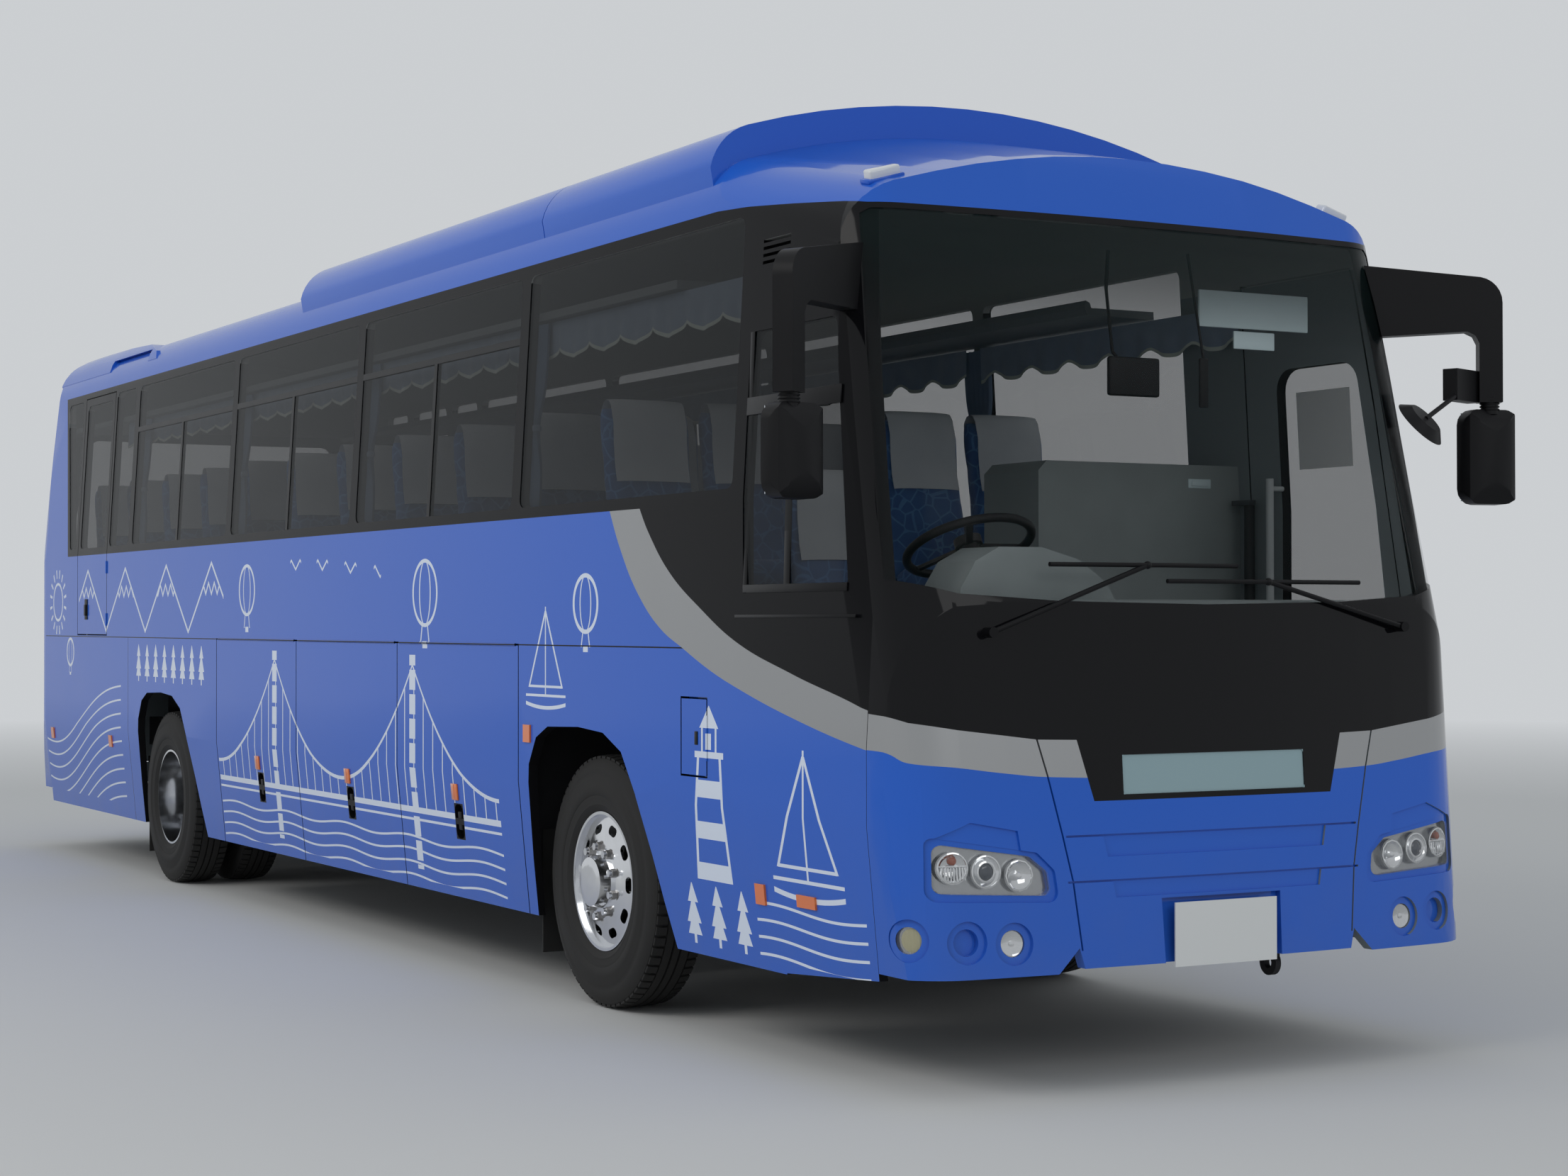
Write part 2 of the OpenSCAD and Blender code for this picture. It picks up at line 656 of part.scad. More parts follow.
// Fairing over the front half of the roof: its rise above the roof and its ends
fairing_rise = 145;
fairing_half = concat([[0, 3150], [1135, 3150], [1150, 3250]],
    arc([edge_c.x, edge_c.y + fairing_rise], roof_r - 15, 12, 90 - roof_a, 7),
    arc([0, crown_c.y + fairing_rise], crown_r - 15, 90 - roof_a, 90, 6, 1));
fairing_front = -1005;
fairing_rear = 3740;
fairing_line = box_points(fairing_front, fairing_rear, 3140, 3900);

// Hood over the rear of the roof with an air intake on each side
scoop_line = [[tail - 2900, 3180], [tail - 2780, 3290], [tail - 2500, 3355], [tail - 1900, 3385],
              [tail - 1000, 3400], [tail - 720, 3390], [tail - 560, 3350], [tail - 480, 3250],
              [tail - 450, 3120]];
scoop_rise = 60;
scoop_half = concat([[0, 3150], [1120, 3150], [1135, 3200]],
    arc([edge_c.x - 20, edge_c.y + scoop_rise], roof_r, 14, 90 - roof_a, 5),
    arc([0, crown_c.y + scoop_rise], crown_r, 90 - roof_a, 90, 4, 1));
intake = [tail - 2650, tail - 1750, 3215, 3310];
module roof_scoop() difference() {
    intersection() {
        front_cut(mirrored_ring(scoop_half), front_y, rear_y);
        side_slab(scoop_line, -2000, 2000);
    }
    form(0);
    for (s = [-1, 1]) side_slab(box_points(intake[0], intake[1], intake[2], intake[3]),
                                min(s * 1010, s * 2000), max(s * 1010, s * 2000));
}
fairing_seam = 560;

module roof_fairing() color("royalblue") {
    roof_scoop();
    fairing();
}
module fairing() difference() {
    intersection() {
        front_cut(mirrored_ring(fairing_half), front_y, rear_y);
        side_slab(fairing_line, -2000, 2000);
        for (row = fairing_slopes) sloped(row, 0);
    }
    form(0);
    // Seam across the fairing
    difference() {
        side_slab(box_points(fairing_seam, fairing_seam + groove, 3100, 3700), -2000, 2000);
        front_cut(mirrored_ring([for (p = fairing_half) [max(0, p.x - 8), p.y - 8]]), front_y, rear_y);
    }
}

engine_lid_x = 880;
lid_axis_y = rear_y - 1;
engine_lid_z = [560, 1500];
rear_glass = rounded([[-1000, 1900, 80], [1000, 1900, 80], [900, 2880, 80], [-900, 2880, 80]]);

module rear_wall() color("royalblue") union() {
    difference() {
        intersection() {
            layer(0, wall_t);
            side_slab(box_points(rear_seam, tail + 430, 420, roof_seam_z), -2000, 2000);
        }
        front_cut(rear_glass, at(tail - 1370), rear_y + 100);
        front_cut([[-engine_lid_x, engine_lid_z[0]], [engine_lid_x, engine_lid_z[0]],
                   [engine_lid_x, engine_lid_z[1]], [-engine_lid_x, engine_lid_z[1]]],
                  at(tail - 1370), rear_y + 100);
        rear_lamp_cut();
    }
    lid_hinge(0);
}

module rear_window() color("dimgray") glass() front_cut(rear_glass, at(tail - 1370), rear_y + 100);

module engine_lid() color("royalblue") difference() {
    intersection() {
        layer(0, wall_t);
        front_cut([[-engine_lid_x + door_gap, engine_lid_z[0] + door_gap],
                   [engine_lid_x - door_gap, engine_lid_z[0] + door_gap],
                   [engine_lid_x - door_gap, engine_lid_z[1] - door_gap / 2],
                   [-engine_lid_x + door_gap, engine_lid_z[1] - door_gap / 2]],
                  at(tail - 1370), rear_y + 100);
    }
    lid_hinge(run_gap);
    for (i = [0:lid_slots - 1]) intersection() {
        layer(-5, 14);
        front_cut(box_points(-640, 640, 660 + i * 70, 690 + i * 70), at(tail - 1370), rear_y + 100);
    }
}
lid_slots = 5;

rear_lamp = rect([930, 1090, 700, 1350], 30);
module rear_lamp_cut() for (s = [-1, 1])
    front_cut([for (p = rear_lamp) [s * p.x, p.y]], at(tail - 370), rear_y + 100);
module rear_lamps() color("red") intersection() {
    layer(3, wall_t);
    rear_lamp_cut();
}

// Structure

module block(x0, x1, d0, d1, z0, z1) translate([x0, at(d0), z0])
    cube([x1 - x0, d1 - d0, z1 - z0]);

rail_x = [390, 470];
// Towing eyes: place, place of the beam that carries it, height
eyes = [[nose + 120, nose + 180, 375], [tail - 220, tail - 350, 375]];
eye_x = 300;
eye_r = 20;
module rail(s, d0, d1) block(min(s * rail_x[0], s * rail_x[1]), max(s * rail_x[0], s * rail_x[1]),
                            d0, d1, 700, 900);
rod_r = 22;
rod_l = 810;
rod_x = 430;
module chassis() color("dimgray") union() {
    for (s = [-1, 1]) {
        rail(s, nose + 170, bulkheads[0]);
        rail(s, bulkheads[3] + 20, tail - 270);
        // Brackets of the suspension rods
        block(s * rod_x - 30, s * rod_x + 30, 500, 560, 430, 720);
        block(s * rod_x - 30, s * rod_x + 30, wheelbase - rod_l - 60, wheelbase - rod_l, 450, 700);
        // Arms that carry the mudflaps
        block(s > 0 ? rail_x[1] : -1150, s > 0 ? 1150 : -rail_x[1], wheelbase + 590, wheelbase + 620, 700, 740);
        // Air tanks beside the rear rails
        translate([s * (rail_x[1] + 110), at(tail - 2150), 640]) rotate([-90, 0, 0]) rotate_extrude($fn = 24)
            polygon([[0, 0], [60, 0], [105, 30], [118, 60], [118, 740], [105, 770], [60, 800], [0, 800]]);
        for (d = [tail - 2000, tail - 1550])
            block(min(s * (rail_x[1] - 5), s * (rail_x[1] + 100)),
                  max(s * (rail_x[1] - 5), s * (rail_x[1] + 100)), d, d + 60, 730, 780);
    }
    for (d = [nose + 170, -1000, 500, bulkheads[3] + 126, tail - 420])
        block(-rail_x[1], rail_x[1], d, d + 80, 720, 880);
    // Towing eyes below the front and rear faces
    for (e = eyes) difference() {
        union() {
            translate([eye_x - 12, at(e[0]), e[2]]) rotate([0, 90, 0]) cylinder(h = 24, r = 45);
            block(eye_x - 12, eye_x + 12, e[0] - 38, e[0] + 38, e[2], 800);
            block(eye_x - 12, eye_x + 12, min(e[0] - 38, e[1]), max(e[0] + 38, e[1]), 740, 800);
        }
        translate([eye_x - 20, at(e[0]), e[2]]) rotate([0, 90, 0]) cylinder(h = 40, r = eye_r);
    }
}

// Floor and bulkheads of the luggage bays
bay_x = 1150;
bulkheads = [luggage_y[0][0] + 14, luggage_y[0][1] - 10, luggage_y[1][1] - 10, luggage_y[2][1] - 34];
module bay_floor() color("dimgray") union() {
    block(-bay_x, bay_x, bulkheads[0], bulkheads[3] + 20, bay_z - 30, bay_z);
    for (d = bulkheads) block(-bay_x, bay_x, d, d + 20, bay_z, floor_z - floor_t);
}

flap_t = 8;
module mudflaps() color("black") for (s = [-1, 1]) {
    block(s > 0 ? 760 : -1130, s > 0 ? 1130 : -760, bulkheads[0] - flap_t - 10, bulkheads[0] - 10, 160, 690);
    block(s > 0 ? 790 : -1100, s > 0 ? 1100 : -790, bulkheads[0] - 12, bulkheads[0] - 0.3, 600, 690);
    block(s > 0 ? 660 : -1140, s > 0 ? 1140 : -660, wheelbase + 620.3, wheelbase + 620.3 + flap_t, 140, 740);
}

// Touching pieces of a floor are kept apart by this much
floor_gap = 0.3;
floor_edge = inner_x - 8;
module floor() color("gray") union() {
    block(-inner_x, inner_x, stair_end, luggage_y[0][0] - 20, floor_z - floor_t, floor_z);
    block(-floor_edge, floor_edge, luggage_y[0][0] - 20, luggage_y[2][1] + 20,
          floor_z - floor_t, floor_z);
    block(-inner_x, inner_x, luggage_y[2][1] + 20, tail - 470, floor_z - floor_t, floor_z);
}

// Driver's floor, steps of the entrance, the wall behind both, and the brackets of the door column
riser_t = 20;
module cab_floor() color("gray") intersection() {
    form(wall_t);
    union() {
        block(-half_w, stair_x - riser_t - floor_gap, nose + 170, stair_end - riser_t - floor_gap,
              cab_z - floor_t, cab_z);
        block(stair_x - riser_t, stair_x, nose + 170, stair_end - riser_t - floor_gap, step_z - 40, cab_z);
        block(stair_x + floor_gap, column_at.x, nose + 370, stair_end - riser_t - floor_gap, step_z - 40, step_z);
        block(stair_x + floor_gap, stair_x + 260, nose + 370, stair_end - riser_t - floor_gap,
              step_z + floor_gap, step_z + 220);
        block(stair_x + floor_gap, half_w, stair_end - riser_t, stair_end, step_z - 40, floor_z);
        block(-half_w, stair_x, stair_end - riser_t, stair_end, cab_z - floor_t, floor_z);
        for (z = [column_foot_z - 20, column_top_z]) {
            block(column_at.x - 30, column_at.x + 8, column_at.y - 30, stair_end - riser_t - floor_gap, z, z + 20);
            block(column_at.x + 8 + floor_gap, half_w, entrance_rear + 5, stair_end - riser_t - floor_gap,
                  z, z + 20);
        }
    }
}

module wheel_housings() color("gray") for (d = [0, wheelbase], s = [-1, 1]) {
    x = d == 0 ? 545 : 560;
    block(min(s * (x + floor_gap), s * inner_x), max(s * (x + floor_gap), s * inner_x),
          d - 800, d + 480, 1160, 1175);
    block(min(s * (x - 15), s * x), max(s * (x - 15), s * x), d - 800, d + 480, 700, floor_z - floor_t);
}

// Engine block, gearbox and propeller shaft
engine_front = tail - 1870;
module engine() color("gray") union() {
    block(-rail_x[0], rail_x[0], engine_front, tail - 470, 560, 1180);
    hull() {
        block(-230, 230, engine_front - 10, engine_front, 580, 1040);
        block(-140, 140, engine_front - 420, engine_front - 410, 440, 800);
    }
    translate([0, at(wheelbase) + axle_half[1].x + run_gap, wheel_z]) rotate([-90, 0, 0])
        cylinder(h = engine_front - 400 - wheelbase - axle_half[1].x - run_gap, r = 45);
}

module tyre(w) rotate([0, 90, 0]) translate([0, 0, -w / 2]) rotate_extrude($fn = 64)
    polygon([[rim_d / 2 - 4, 25], [rim_d / 2 + 25, 8], [rim_d / 2 + 110, 0], [tyre_d / 2 - 60, 10],
             [tyre_d / 2 - 12, 24], [tyre_d / 2, 45], [tyre_d / 2, w - 45], [tyre_d / 2 - 12, w - 24],
             [tyre_d / 2 - 60, w - 10], [rim_d / 2 + 110, w], [rim_d / 2 + 25, w - 8],
             [rim_d / 2 - 4, w - 25]]);

module place_wheel(s, d, x) translate([s * x, at(d), wheel_z]) children();

module tyre_front_right() color("black") place_wheel(-1, 0, front_track / 2) tyre(tyre_w);
module tyre_front_left() color("black") place_wheel(1, 0, front_track / 2) tyre(tyre_w);
module twin(s) for (k = [-1, 1]) place_wheel(s, wheelbase, rear_track / 2 + k * twin_pitch / 2)
    tyre(tyre_w);
module tyres_rear_right() color("black") twin(-1);
module tyres_rear_left() color("black") twin(1);

// Oval hand holes round a wheel disc
hole_at = 218;
module hand_holes(x, h) for (i = [0:9]) rotate([i * 36, 0, 0]) translate([x, hole_at, 0]) rotate([90, 0, 90])
    linear_extrude(h) polygon(rounded([[-19, -34, 18], [19, -34, 18], [19, 34, 18], [-19, 34, 18]], 3));

// Rim barrel, disc and hub of a front wheel, outer side towards +X
module front_rim() union() {
    translate([-tyre_w / 2, 0, 0]) rotate([0, 90, 0]) rotate_extrude($fn = 64)
        polygon([[rim_d / 2 - 16, 24], [rim_d / 2 - 4, 24], [rim_d / 2 - 4, tyre_w - 24],
                 [rim_d / 2 - 16, tyre_w - 24]]);
    difference() {
        rotate([0, 90, 0]) rotate_extrude($fn = 64)
            polygon([[spindle_r + 0.5, 60], [110, 60], [180, 92], [rim_d / 2 - 10, 70],
                     [rim_d / 2 - 10, 82], [180, 106], [150, 118], [110, 124], [100, 168],
                     [70, 174], [0, 176], [0, 140], [spindle_r + 0.5, 140]]);
        hand_holes(0, 300);
    }
    for (i = [0:studs - 1]) rotate([i * 360 / studs + 18, 0, 0]) translate([110, 143, 0])
        rotate([0, 90, 0]) cylinder(h = 40, r = 15);
}

module wheel_front_right() color("silver") translate([-front_track / 2, at(0), wheel_z])
    rotate([0, 0, 180]) front_rim();
module wheel_front_left() color("silver") translate([front_track / 2, at(0), wheel_z]) front_rim();

module rear_rims() union() {
    for (k = [-1, 1]) translate([k * twin_pitch / 2 - tyre_w / 2, 0, 0]) rotate([0, 90, 0])
        rotate_extrude($fn = 64)
        polygon([[rim_d / 2 - 16, 24], [rim_d / 2 - 4, 24], [rim_d / 2 - 4, tyre_w - 24],
                 [rim_d / 2 - 16, tyre_w - 24]]);
    difference() {
        rotate([0, 90, 0]) rotate_extrude($fn = 64)
            polygon([[spindle_r + 0.5, -40], [150, -40], [200, -60], [rim_d / 2 - 10, -60],
                     [rim_d / 2 - 10, 60], [rim_d / 2 - 22, 60], [rim_d / 2 - 22, 10], [120, 6],
                     [110, 120], [0, 126], [0, 100], [spindle_r + 0.5, 100]]);
        hand_holes(-20, 100);
    }
    for (i = [0:studs - 1]) rotate([i * 360 / studs + 18, 0, 0]) translate([0, 143, 0])
        rotate([0, 90, 0]) cylinder(h = 60, r = 15);
}

module wheels_rear_right() color("silver") translate([-rear_track / 2, at(wheelbase), wheel_z])
    rotate([0, 0, 180]) rear_rims();
module wheels_rear_left() color("silver") translate([rear_track / 2, at(wheelbase), wheel_z])
    rear_rims();

kx = kingpin_w / 2;
module knuckle(s) color("dimgray") union() {
    translate([s * kx, at(0), wheel_z - 110]) cylinder(h = 220, r = kingpin_r - 0.05);
    for (z = [wheel_z - 110, wheel_z + 56])
        translate([s * kx - (s < 0 ? 100 : 0), at(-50), z]) cube([100, 100, 54]);
    translate([s * (kx + 82) - 18, at(-60), wheel_z - 110]) cube([36, 120, 220]);
    translate([s * (kx + 90), at(0), wheel_z]) rotate([0, s * 90, 0])
        cylinder(h = front_track / 2 + 130 - kx - 90, r = spindle_r);
}
module knuckle_right() knuckle(-1);
module knuckle_left() knuckle(1);

module front_axle() color("dimgray") difference() {
    union() {
        translate([-kx + 40, at(-45), wheel_z - 110]) cube([2 * kx - 80, 90, 100]);
        for (s = [-1, 1]) {
            translate([s * kx, at(0), wheel_z - 55]) cylinder(h = 110, r = 55);
            translate([s * (kx - 70) - 35, at(-45), wheel_z - 110]) cube([70, 90, 165]);
            translate([s * 430, at(0), wheel_z - 20]) cylinder(h = 720 - wheel_z, r = 85);
            translate([s * rod_x, at(30), wheel_z - 62]) rotate([-90, 0, 0])
                cylinder(h = 470 - run_gap, r = rod_r);
        }
    }
    for (s = [-1, 1]) translate([s * kx, at(0), wheel_z - 60]) cylinder(h = 120, r = kingpin_r);
}

// Rear axle: half outline [radius, distance from the middle], turned about X
axle_half = [[0, 0], [210, 0], [200, 70], [165, 125], [105, 180], [80, 230], [76, 600], [62, 640],
             [spindle_r, 690], [spindle_r, rear_track / 2 + 90], [0, rear_track / 2 + 90]];
module rear_axle() color("dimgray") union() {
    translate([0, at(wheelbase), wheel_z]) rotate([0, 90, 0]) rotate_extrude()
        polygon(concat([for (i = [len(axle_half) - 1:-1:1]) [axle_half[i].x, -axle_half[i].y]],
                       [for (i = [1:len(axle_half) - 1]) axle_half[i]]));
    // Spring seats between the axle and the rails
    for (s = [-1, 1]) block(s * 430 - 55, s * 430 + 55, wheelbase - 50, wheelbase + 50, wheel_z, 700);
    for (s = [-1, 1]) translate([s * rod_x, at(wheelbase) - rod_l + run_gap, wheel_z - 20]) rotate([-90, 0, 0])
        cylinder(h = rod_l - 40, r = rod_r);
}

// Fittings

// Mirrors: [side, arm root, arm corner, foot of the arm, head: middle, foot, top,
// rise and drop of the arm at its root and at its corner]
mirror_rows = [[-1, [1180, -2080, 2790], [1555, -2320, 2765], 2340, 1530, 1990, 2310, [110, 135], [55, 115]],
               [1, [1160, -2130, 2830], [1500, -2350, 2840], 2420, 1500, 2030, 2395, [118, 160], [60, 150]]];
fillet = 45;
arm_t = 74;
arm_w = 88;
module mirror_arm(m) {
    r = m[1];
    c = m[2];
    l = norm([c.x - r.x, c.y - r.y]);
    translate([m[0] * r.x, at(r.y), 0]) rotate([0, 0, atan2(c.y - r.y, m[0] * (c.x - r.x))])
        rotate([90, 0, 0]) translate([0, 0, -arm_t / 2]) linear_extrude(arm_t)
        polygon(concat(
            [[-90, r.z - m[7].y], [l - arm_w / 2 - fillet, c.z - m[8].y], [l - arm_w / 2 - fillet / 3,
              c.z - m[8].y - fillet / 3], [l - arm_w / 2, c.z - m[8].y - fillet], [l - arm_w / 2, m[3]],
             [l + arm_w / 2, m[3]]],
            arc([l + arm_w / 2 - 100, c.z + m[8].x - 100], 100, 0, 80, 6),
            [[-90, r.z + m[7].x]]));
}
// Head with a curved back, the mirror's face towards the rear
module mirror_head(m) {
    w = 112;
    h = m[6] - m[5];
    translate([m[0] * m[4], at(m[2].y) + 10, m[5]]) rotate([0, 0, m[0] * -12]) difference() {
        intersection() {
            rotate([90, 0, 0]) translate([0, 0, -60]) linear_extrude(140)
                polygon(rounded([[-w, 0, 60], [w, 0, 60], [w, h, 60], [-w, h, 60]], 4));
            linear_extrude(h) polygon([[-w, 38], [-w - 1, 0], [-w + 14, -34], [-w + 50, -56], [0, -64],
                                       [w - 50, -56], [w - 14, -34], [w + 1, 0], [w, 38]]);
            rotate([90, 0, 90]) translate([0, 0, -w - 5]) linear_extrude(2 * w + 10)
                polygon([[38, 0], [38, h], [-25, h - 2], [-52, h - 40], [-64, h - 90], [-64, 90],
                         [-52, 40], [-25, 2]]);
        }
        rotate([90, 0, 0]) translate([0, 0, -60]) linear_extrude(28)
            polygon(rounded([[-w + 12, 12, 50], [w - 12, 12, 50], [w - 12, h - 12, 50],
                             [-w + 12, h - 12, 50]], 4));
    }
}
wide_mirror = [1075, at(-2430), 2317];
module mirrors() color("black") {
    for (m = mirror_rows) union() {
        difference() {
            mirror_arm(m);
            form(0);
        }
        translate([m[0] * m[2].x, at(m[2].y), m[6] - 20]) cylinder(h = m[3] - m[6] + 40, r = 33);
        mirror_head(m);
        // Small square mirror and round wide-angle mirror of the left arm
        if (m[0] > 0) {
            translate([1290, at(-2400), 2420]) rotate([0, 0, 20]) cube([200, 60, 120]);
            rod([1300, at(-2385), 2440], wide_mirror + [12, -20, 22], 9);
            translate(wide_mirror) rotate([0, 48, -64]) cylinder(h = 34, r1 = 106, r2 = 70);
        }
    }
}

// Wipers: [pivot x, pivot height, blade start x, blade end x, blade height]
wiper_rows = [[-905, 1550, -650, 135, 1780], [890, 1565, -180, 700, 1725]];
function nose_at(x, z) = nose_y + nose_r - sqrt(nose_r * nose_r - x * x)
    + (z - face_z) * tan(z > face_z ? face_lean : nose_lean);
module wiper(w) union() {
    mid = (w[2] + w[3]) / 2;
    a = [w[0], nose_at(w[0], w[1]) - 30, w[1]];
    b = [mid, nose_at(mid, w[4]) - 30, w[4]];
    translate([a.x, a.y - 14, a.z]) rotate([-90, 0, 0]) cylinder(h = 60, r = 18);
    rod(a, b, 9);
    rod([w[2], nose_at(w[2], w[4]) - 22, w[4]], b, 8);
    rod([w[3], nose_at(w[3], w[4]) - 22, w[4]], b, 8);
    translate(b) sphere(r = 14);
}
module wipers() color("black") difference() {
    for (w = wiper_rows) wiper(w);
    form(0);
}

// Dashboard with the instrument hood, and the cabinet behind the steps
dash_line = [[nose, cab_z], [nose, 1640], [nose + 180, 1662], [nose + 300, 1640], [nose + 395, 1560],
             [nose + 420, 1330], [nose + 350, 1290], [nose + 330, cab_z]];
hood = [[-960, 1600], [-950, 1700], [-890, 1790], [-790, 1840], [-620, 1840], [-470, 1800], [-350, 1720],
        [-280, 1600]];
cabinet = [190, 1200, stair_end + 10, stair_end + 400, 2225];
module dashboard() color("gray") {
    difference() {
        intersection() {
            form(wall_t);
            union() {
                side_slab(dash_line, -1150, 1150);
                front_cut(hood, at(nose + 200), at(nose + 440));
            }
        }
        steering_column();
    }
    intersection() {
        form(wall_t + 1);
        rotate([90, 0, 0]) translate([0, 0, -at(cabinet[3])]) linear_extrude(cabinet[3] - cabinet[2])
            polygon([[cabinet[0], floor_z], [cabinet[1], floor_z], [cabinet[1], cabinet[4]],
                     [cabinet[0] + 40, cabinet[4]], [cabinet[0], cabinet[4] - 40]]);
    }
}

steering_at = [-690, -2070, 1850];
steering_lean = 25;
steering_l = (steering_at.z - cab_z) / cos(steering_lean);
module at_steering() translate([steering_at.x, at(steering_at.y), steering_at.z])
    rotate([-steering_lean, 0, 0]) children();
// Column from the floor to the wheel's hub
module steering_column() difference() {
    at_steering() translate([0, 0, -steering_l - 30]) cylinder(h = steering_l + 40, r = 35);
    block(-900, -500, -2700, -1900, cab_z - 200, cab_z);
}
module steering_wheel() color("black") union() {
    at_steering() {
        rotate_extrude() translate([225, 0]) circle(r = 16);
        cylinder(h = 30, r = 50);
        for (a = [0, 120, 240]) rotate([0, 0, a]) translate([0, -12, -5]) cube([220, 24, 12]);
    }
    steering_column();
}

// Side outlines of a seat's cushion and back, [rearwards, height], and the gap between them
cushion = [[-240, 395], [-250, 470], [-215, 512], [130, 490], [164.7, 460], [164.7, 395]];
backrest = [[165, 400], [165, 520], [178, 700], [235, 900], [250, 1080], [275, 1150], [310, 1175],
            [345, 1150], [345, 1060], [300, 800], [265, 560], [250, 400]];
seat_leg = [-100, 100, 60];
module outline_x(points, x0, x1) rotate([90, 0, 90]) translate([0, 0, x0]) linear_extrude(x1 - x0)
    polygon(points);
module cushion(w) union() {
    outline_x(cushion, -w / 2, w / 2);
    translate([-seat_leg[2], seat_leg[0], 0]) cube([2 * seat_leg[2], seat_leg[1] - seat_leg[0], 400]);
}

driver_seat_at = [-700, entrance_rear - 160];
module driver_seat() color("gray") translate([driver_seat_at.x, at(driver_seat_at.y), cab_z]) {
    cushion(500);
    outline_x(backrest, -250, 250);
}

// Pairs of seats: middles of the pairs, distance between the two seats
pair_x = [-670, 670];
seat_pitch = 460;
first_row = -200;
module seats() color("steelblue") for (i = [0:rows - 1], x = pair_x)
    translate([x, at(first_row + i * row_pitch), floor_z]) {
        cushion(seat_pitch + seat_w);
        for (k = [-1, 1]) translate([k * seat_pitch / 2, 0, 0]) outline_x(backrest, -seat_w / 2, seat_w / 2);
    }

rack_z = 2880;
rack_line = [[800, rack_z + 6], [785, rack_z + 35], [792, rack_z + 66], [812, rack_z + 58], [820, rack_z + 36],
             [1300, rack_z + 36], [1300, rack_z]];
module luggage_racks() color("gray") intersection() {
    form(wall_t);
    for (s = [-1, 1]) front_cut(turned(s, rack_line), at(-700), at(tail - 770));
}

module curtains() color("lightsteelblue") intersection() {
    layer(wall_t, wall_t + 30);
    for (s = [-1, 1], p = [1:bays])
        side_cut(box_points(posts[p] - 120, posts[p] + 120, 2080, 2870), s);
}

module rod(a, b, r) translate(a) rotate([0, acos((b - a).z / norm(b - a)), atan2((b - a).y, (b - a).x)])
    cylinder(h = norm(b - a), r = r);

// Upright column with two cranked arms, drawn with the door shut
module door_arm() color("dimgray") {
    c = [column_at.x, at(column_at.y)];
    e = c + elbow_l * [cos(door_turn), -sin(door_turn)];
    p = [pin_at.x, at(pin_at.y)];
    difference() {
        union() {
            translate([c.x, c.y, column_foot_z + run_gap])
                cylinder(h = column_top_z - column_foot_z - 2 * run_gap, r = column_r);
            for (z = [arm_low_z, arm_high_z]) {
                rod([c.x, c.y, z], [e.x, e.y, z], arm_r);
                translate([e.x, e.y, z]) sphere(r = arm_r + 2);
                rod([e.x, e.y, z], [p.x, p.y, z], arm_r);
                translate([p.x, p.y, z - arm_r - 3]) cylinder(h = 2 * arm_r + 6, r = door_pin_r + 14);
            }
        }
        for (z = [arm_low_z, arm_high_z])
            translate([p.x, p.y, z - arm_r - 5]) cylinder(h = 2 * arm_r + 10, r = door_pin_r);
    }
}

chassis();
bay_floor();
floor();
cab_floor();
wheel_housings();
side_wall_right();
side_wall_left();
entrance_surround();
mudflaps();
roof();
roof_fairing();
front_panel();
front_bumper();
rear_wall();
windshield();
windows_right();
windows_left();
rear_window();
window_frames();
front_lamps();
lamp_glass();
rear_lamps();
marker_lamps();
mirrors();
wipers();
dashboard();
steering_wheel();
driver_seat();
seats();
luggage_racks();
curtains();
engine();
front_axle();
rear_axle();
knuckle_right();
knuckle_left();
tyre_front_right();
tyre_front_left();
tyres_rear_right();
tyres_rear_left();
wheel_front_right();
wheel_front_left();
wheels_rear_right();
wheels_rear_left();
luggage_door_right_1();
luggage_door_right_2();
luggage_door_right_3();
luggage_door_left_1();
luggage_door_left_2();
luggage_door_left_3();
engine_lid();
emergency_door();
emergency_window();
entrance_door();
entrance_window();
door_arm();
filler_door();
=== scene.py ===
import math

import bmesh
import bpy
from mathutils import Matrix, Vector


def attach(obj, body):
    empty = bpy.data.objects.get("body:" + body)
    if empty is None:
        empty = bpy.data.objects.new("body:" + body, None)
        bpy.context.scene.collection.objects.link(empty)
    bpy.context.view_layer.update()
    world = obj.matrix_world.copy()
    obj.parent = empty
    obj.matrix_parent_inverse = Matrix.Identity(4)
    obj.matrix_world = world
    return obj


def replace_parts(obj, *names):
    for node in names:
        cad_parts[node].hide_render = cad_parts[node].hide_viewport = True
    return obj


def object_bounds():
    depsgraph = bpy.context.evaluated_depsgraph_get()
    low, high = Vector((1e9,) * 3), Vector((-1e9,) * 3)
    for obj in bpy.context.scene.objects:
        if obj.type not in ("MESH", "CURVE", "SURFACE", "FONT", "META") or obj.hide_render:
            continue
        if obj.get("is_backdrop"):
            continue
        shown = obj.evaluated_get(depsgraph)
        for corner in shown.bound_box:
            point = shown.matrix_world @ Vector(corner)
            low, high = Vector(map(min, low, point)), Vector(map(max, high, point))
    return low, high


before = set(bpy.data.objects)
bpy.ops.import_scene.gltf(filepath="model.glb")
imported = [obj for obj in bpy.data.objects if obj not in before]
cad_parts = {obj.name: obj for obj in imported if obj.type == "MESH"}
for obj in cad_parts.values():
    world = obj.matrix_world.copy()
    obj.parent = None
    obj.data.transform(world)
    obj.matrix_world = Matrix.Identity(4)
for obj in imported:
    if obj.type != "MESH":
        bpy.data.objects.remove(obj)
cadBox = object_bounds()
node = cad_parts
print("frame loaded")

# Places along the bus are measured behind the front axle, as in the part's source
axleFront = -3.375
wheelbase = 6.08
halfWidth = 1.245


def at(d):
    return axleFront + d


def linked(name, data):
    o = bpy.data.objects.new(name, data)
    bpy.context.collection.objects.link(o)
    return o


def meshOf(name, bm):
    mesh = bpy.data.meshes.new(name)
    bm.to_mesh(mesh)
    bm.free()
    return mesh


# View

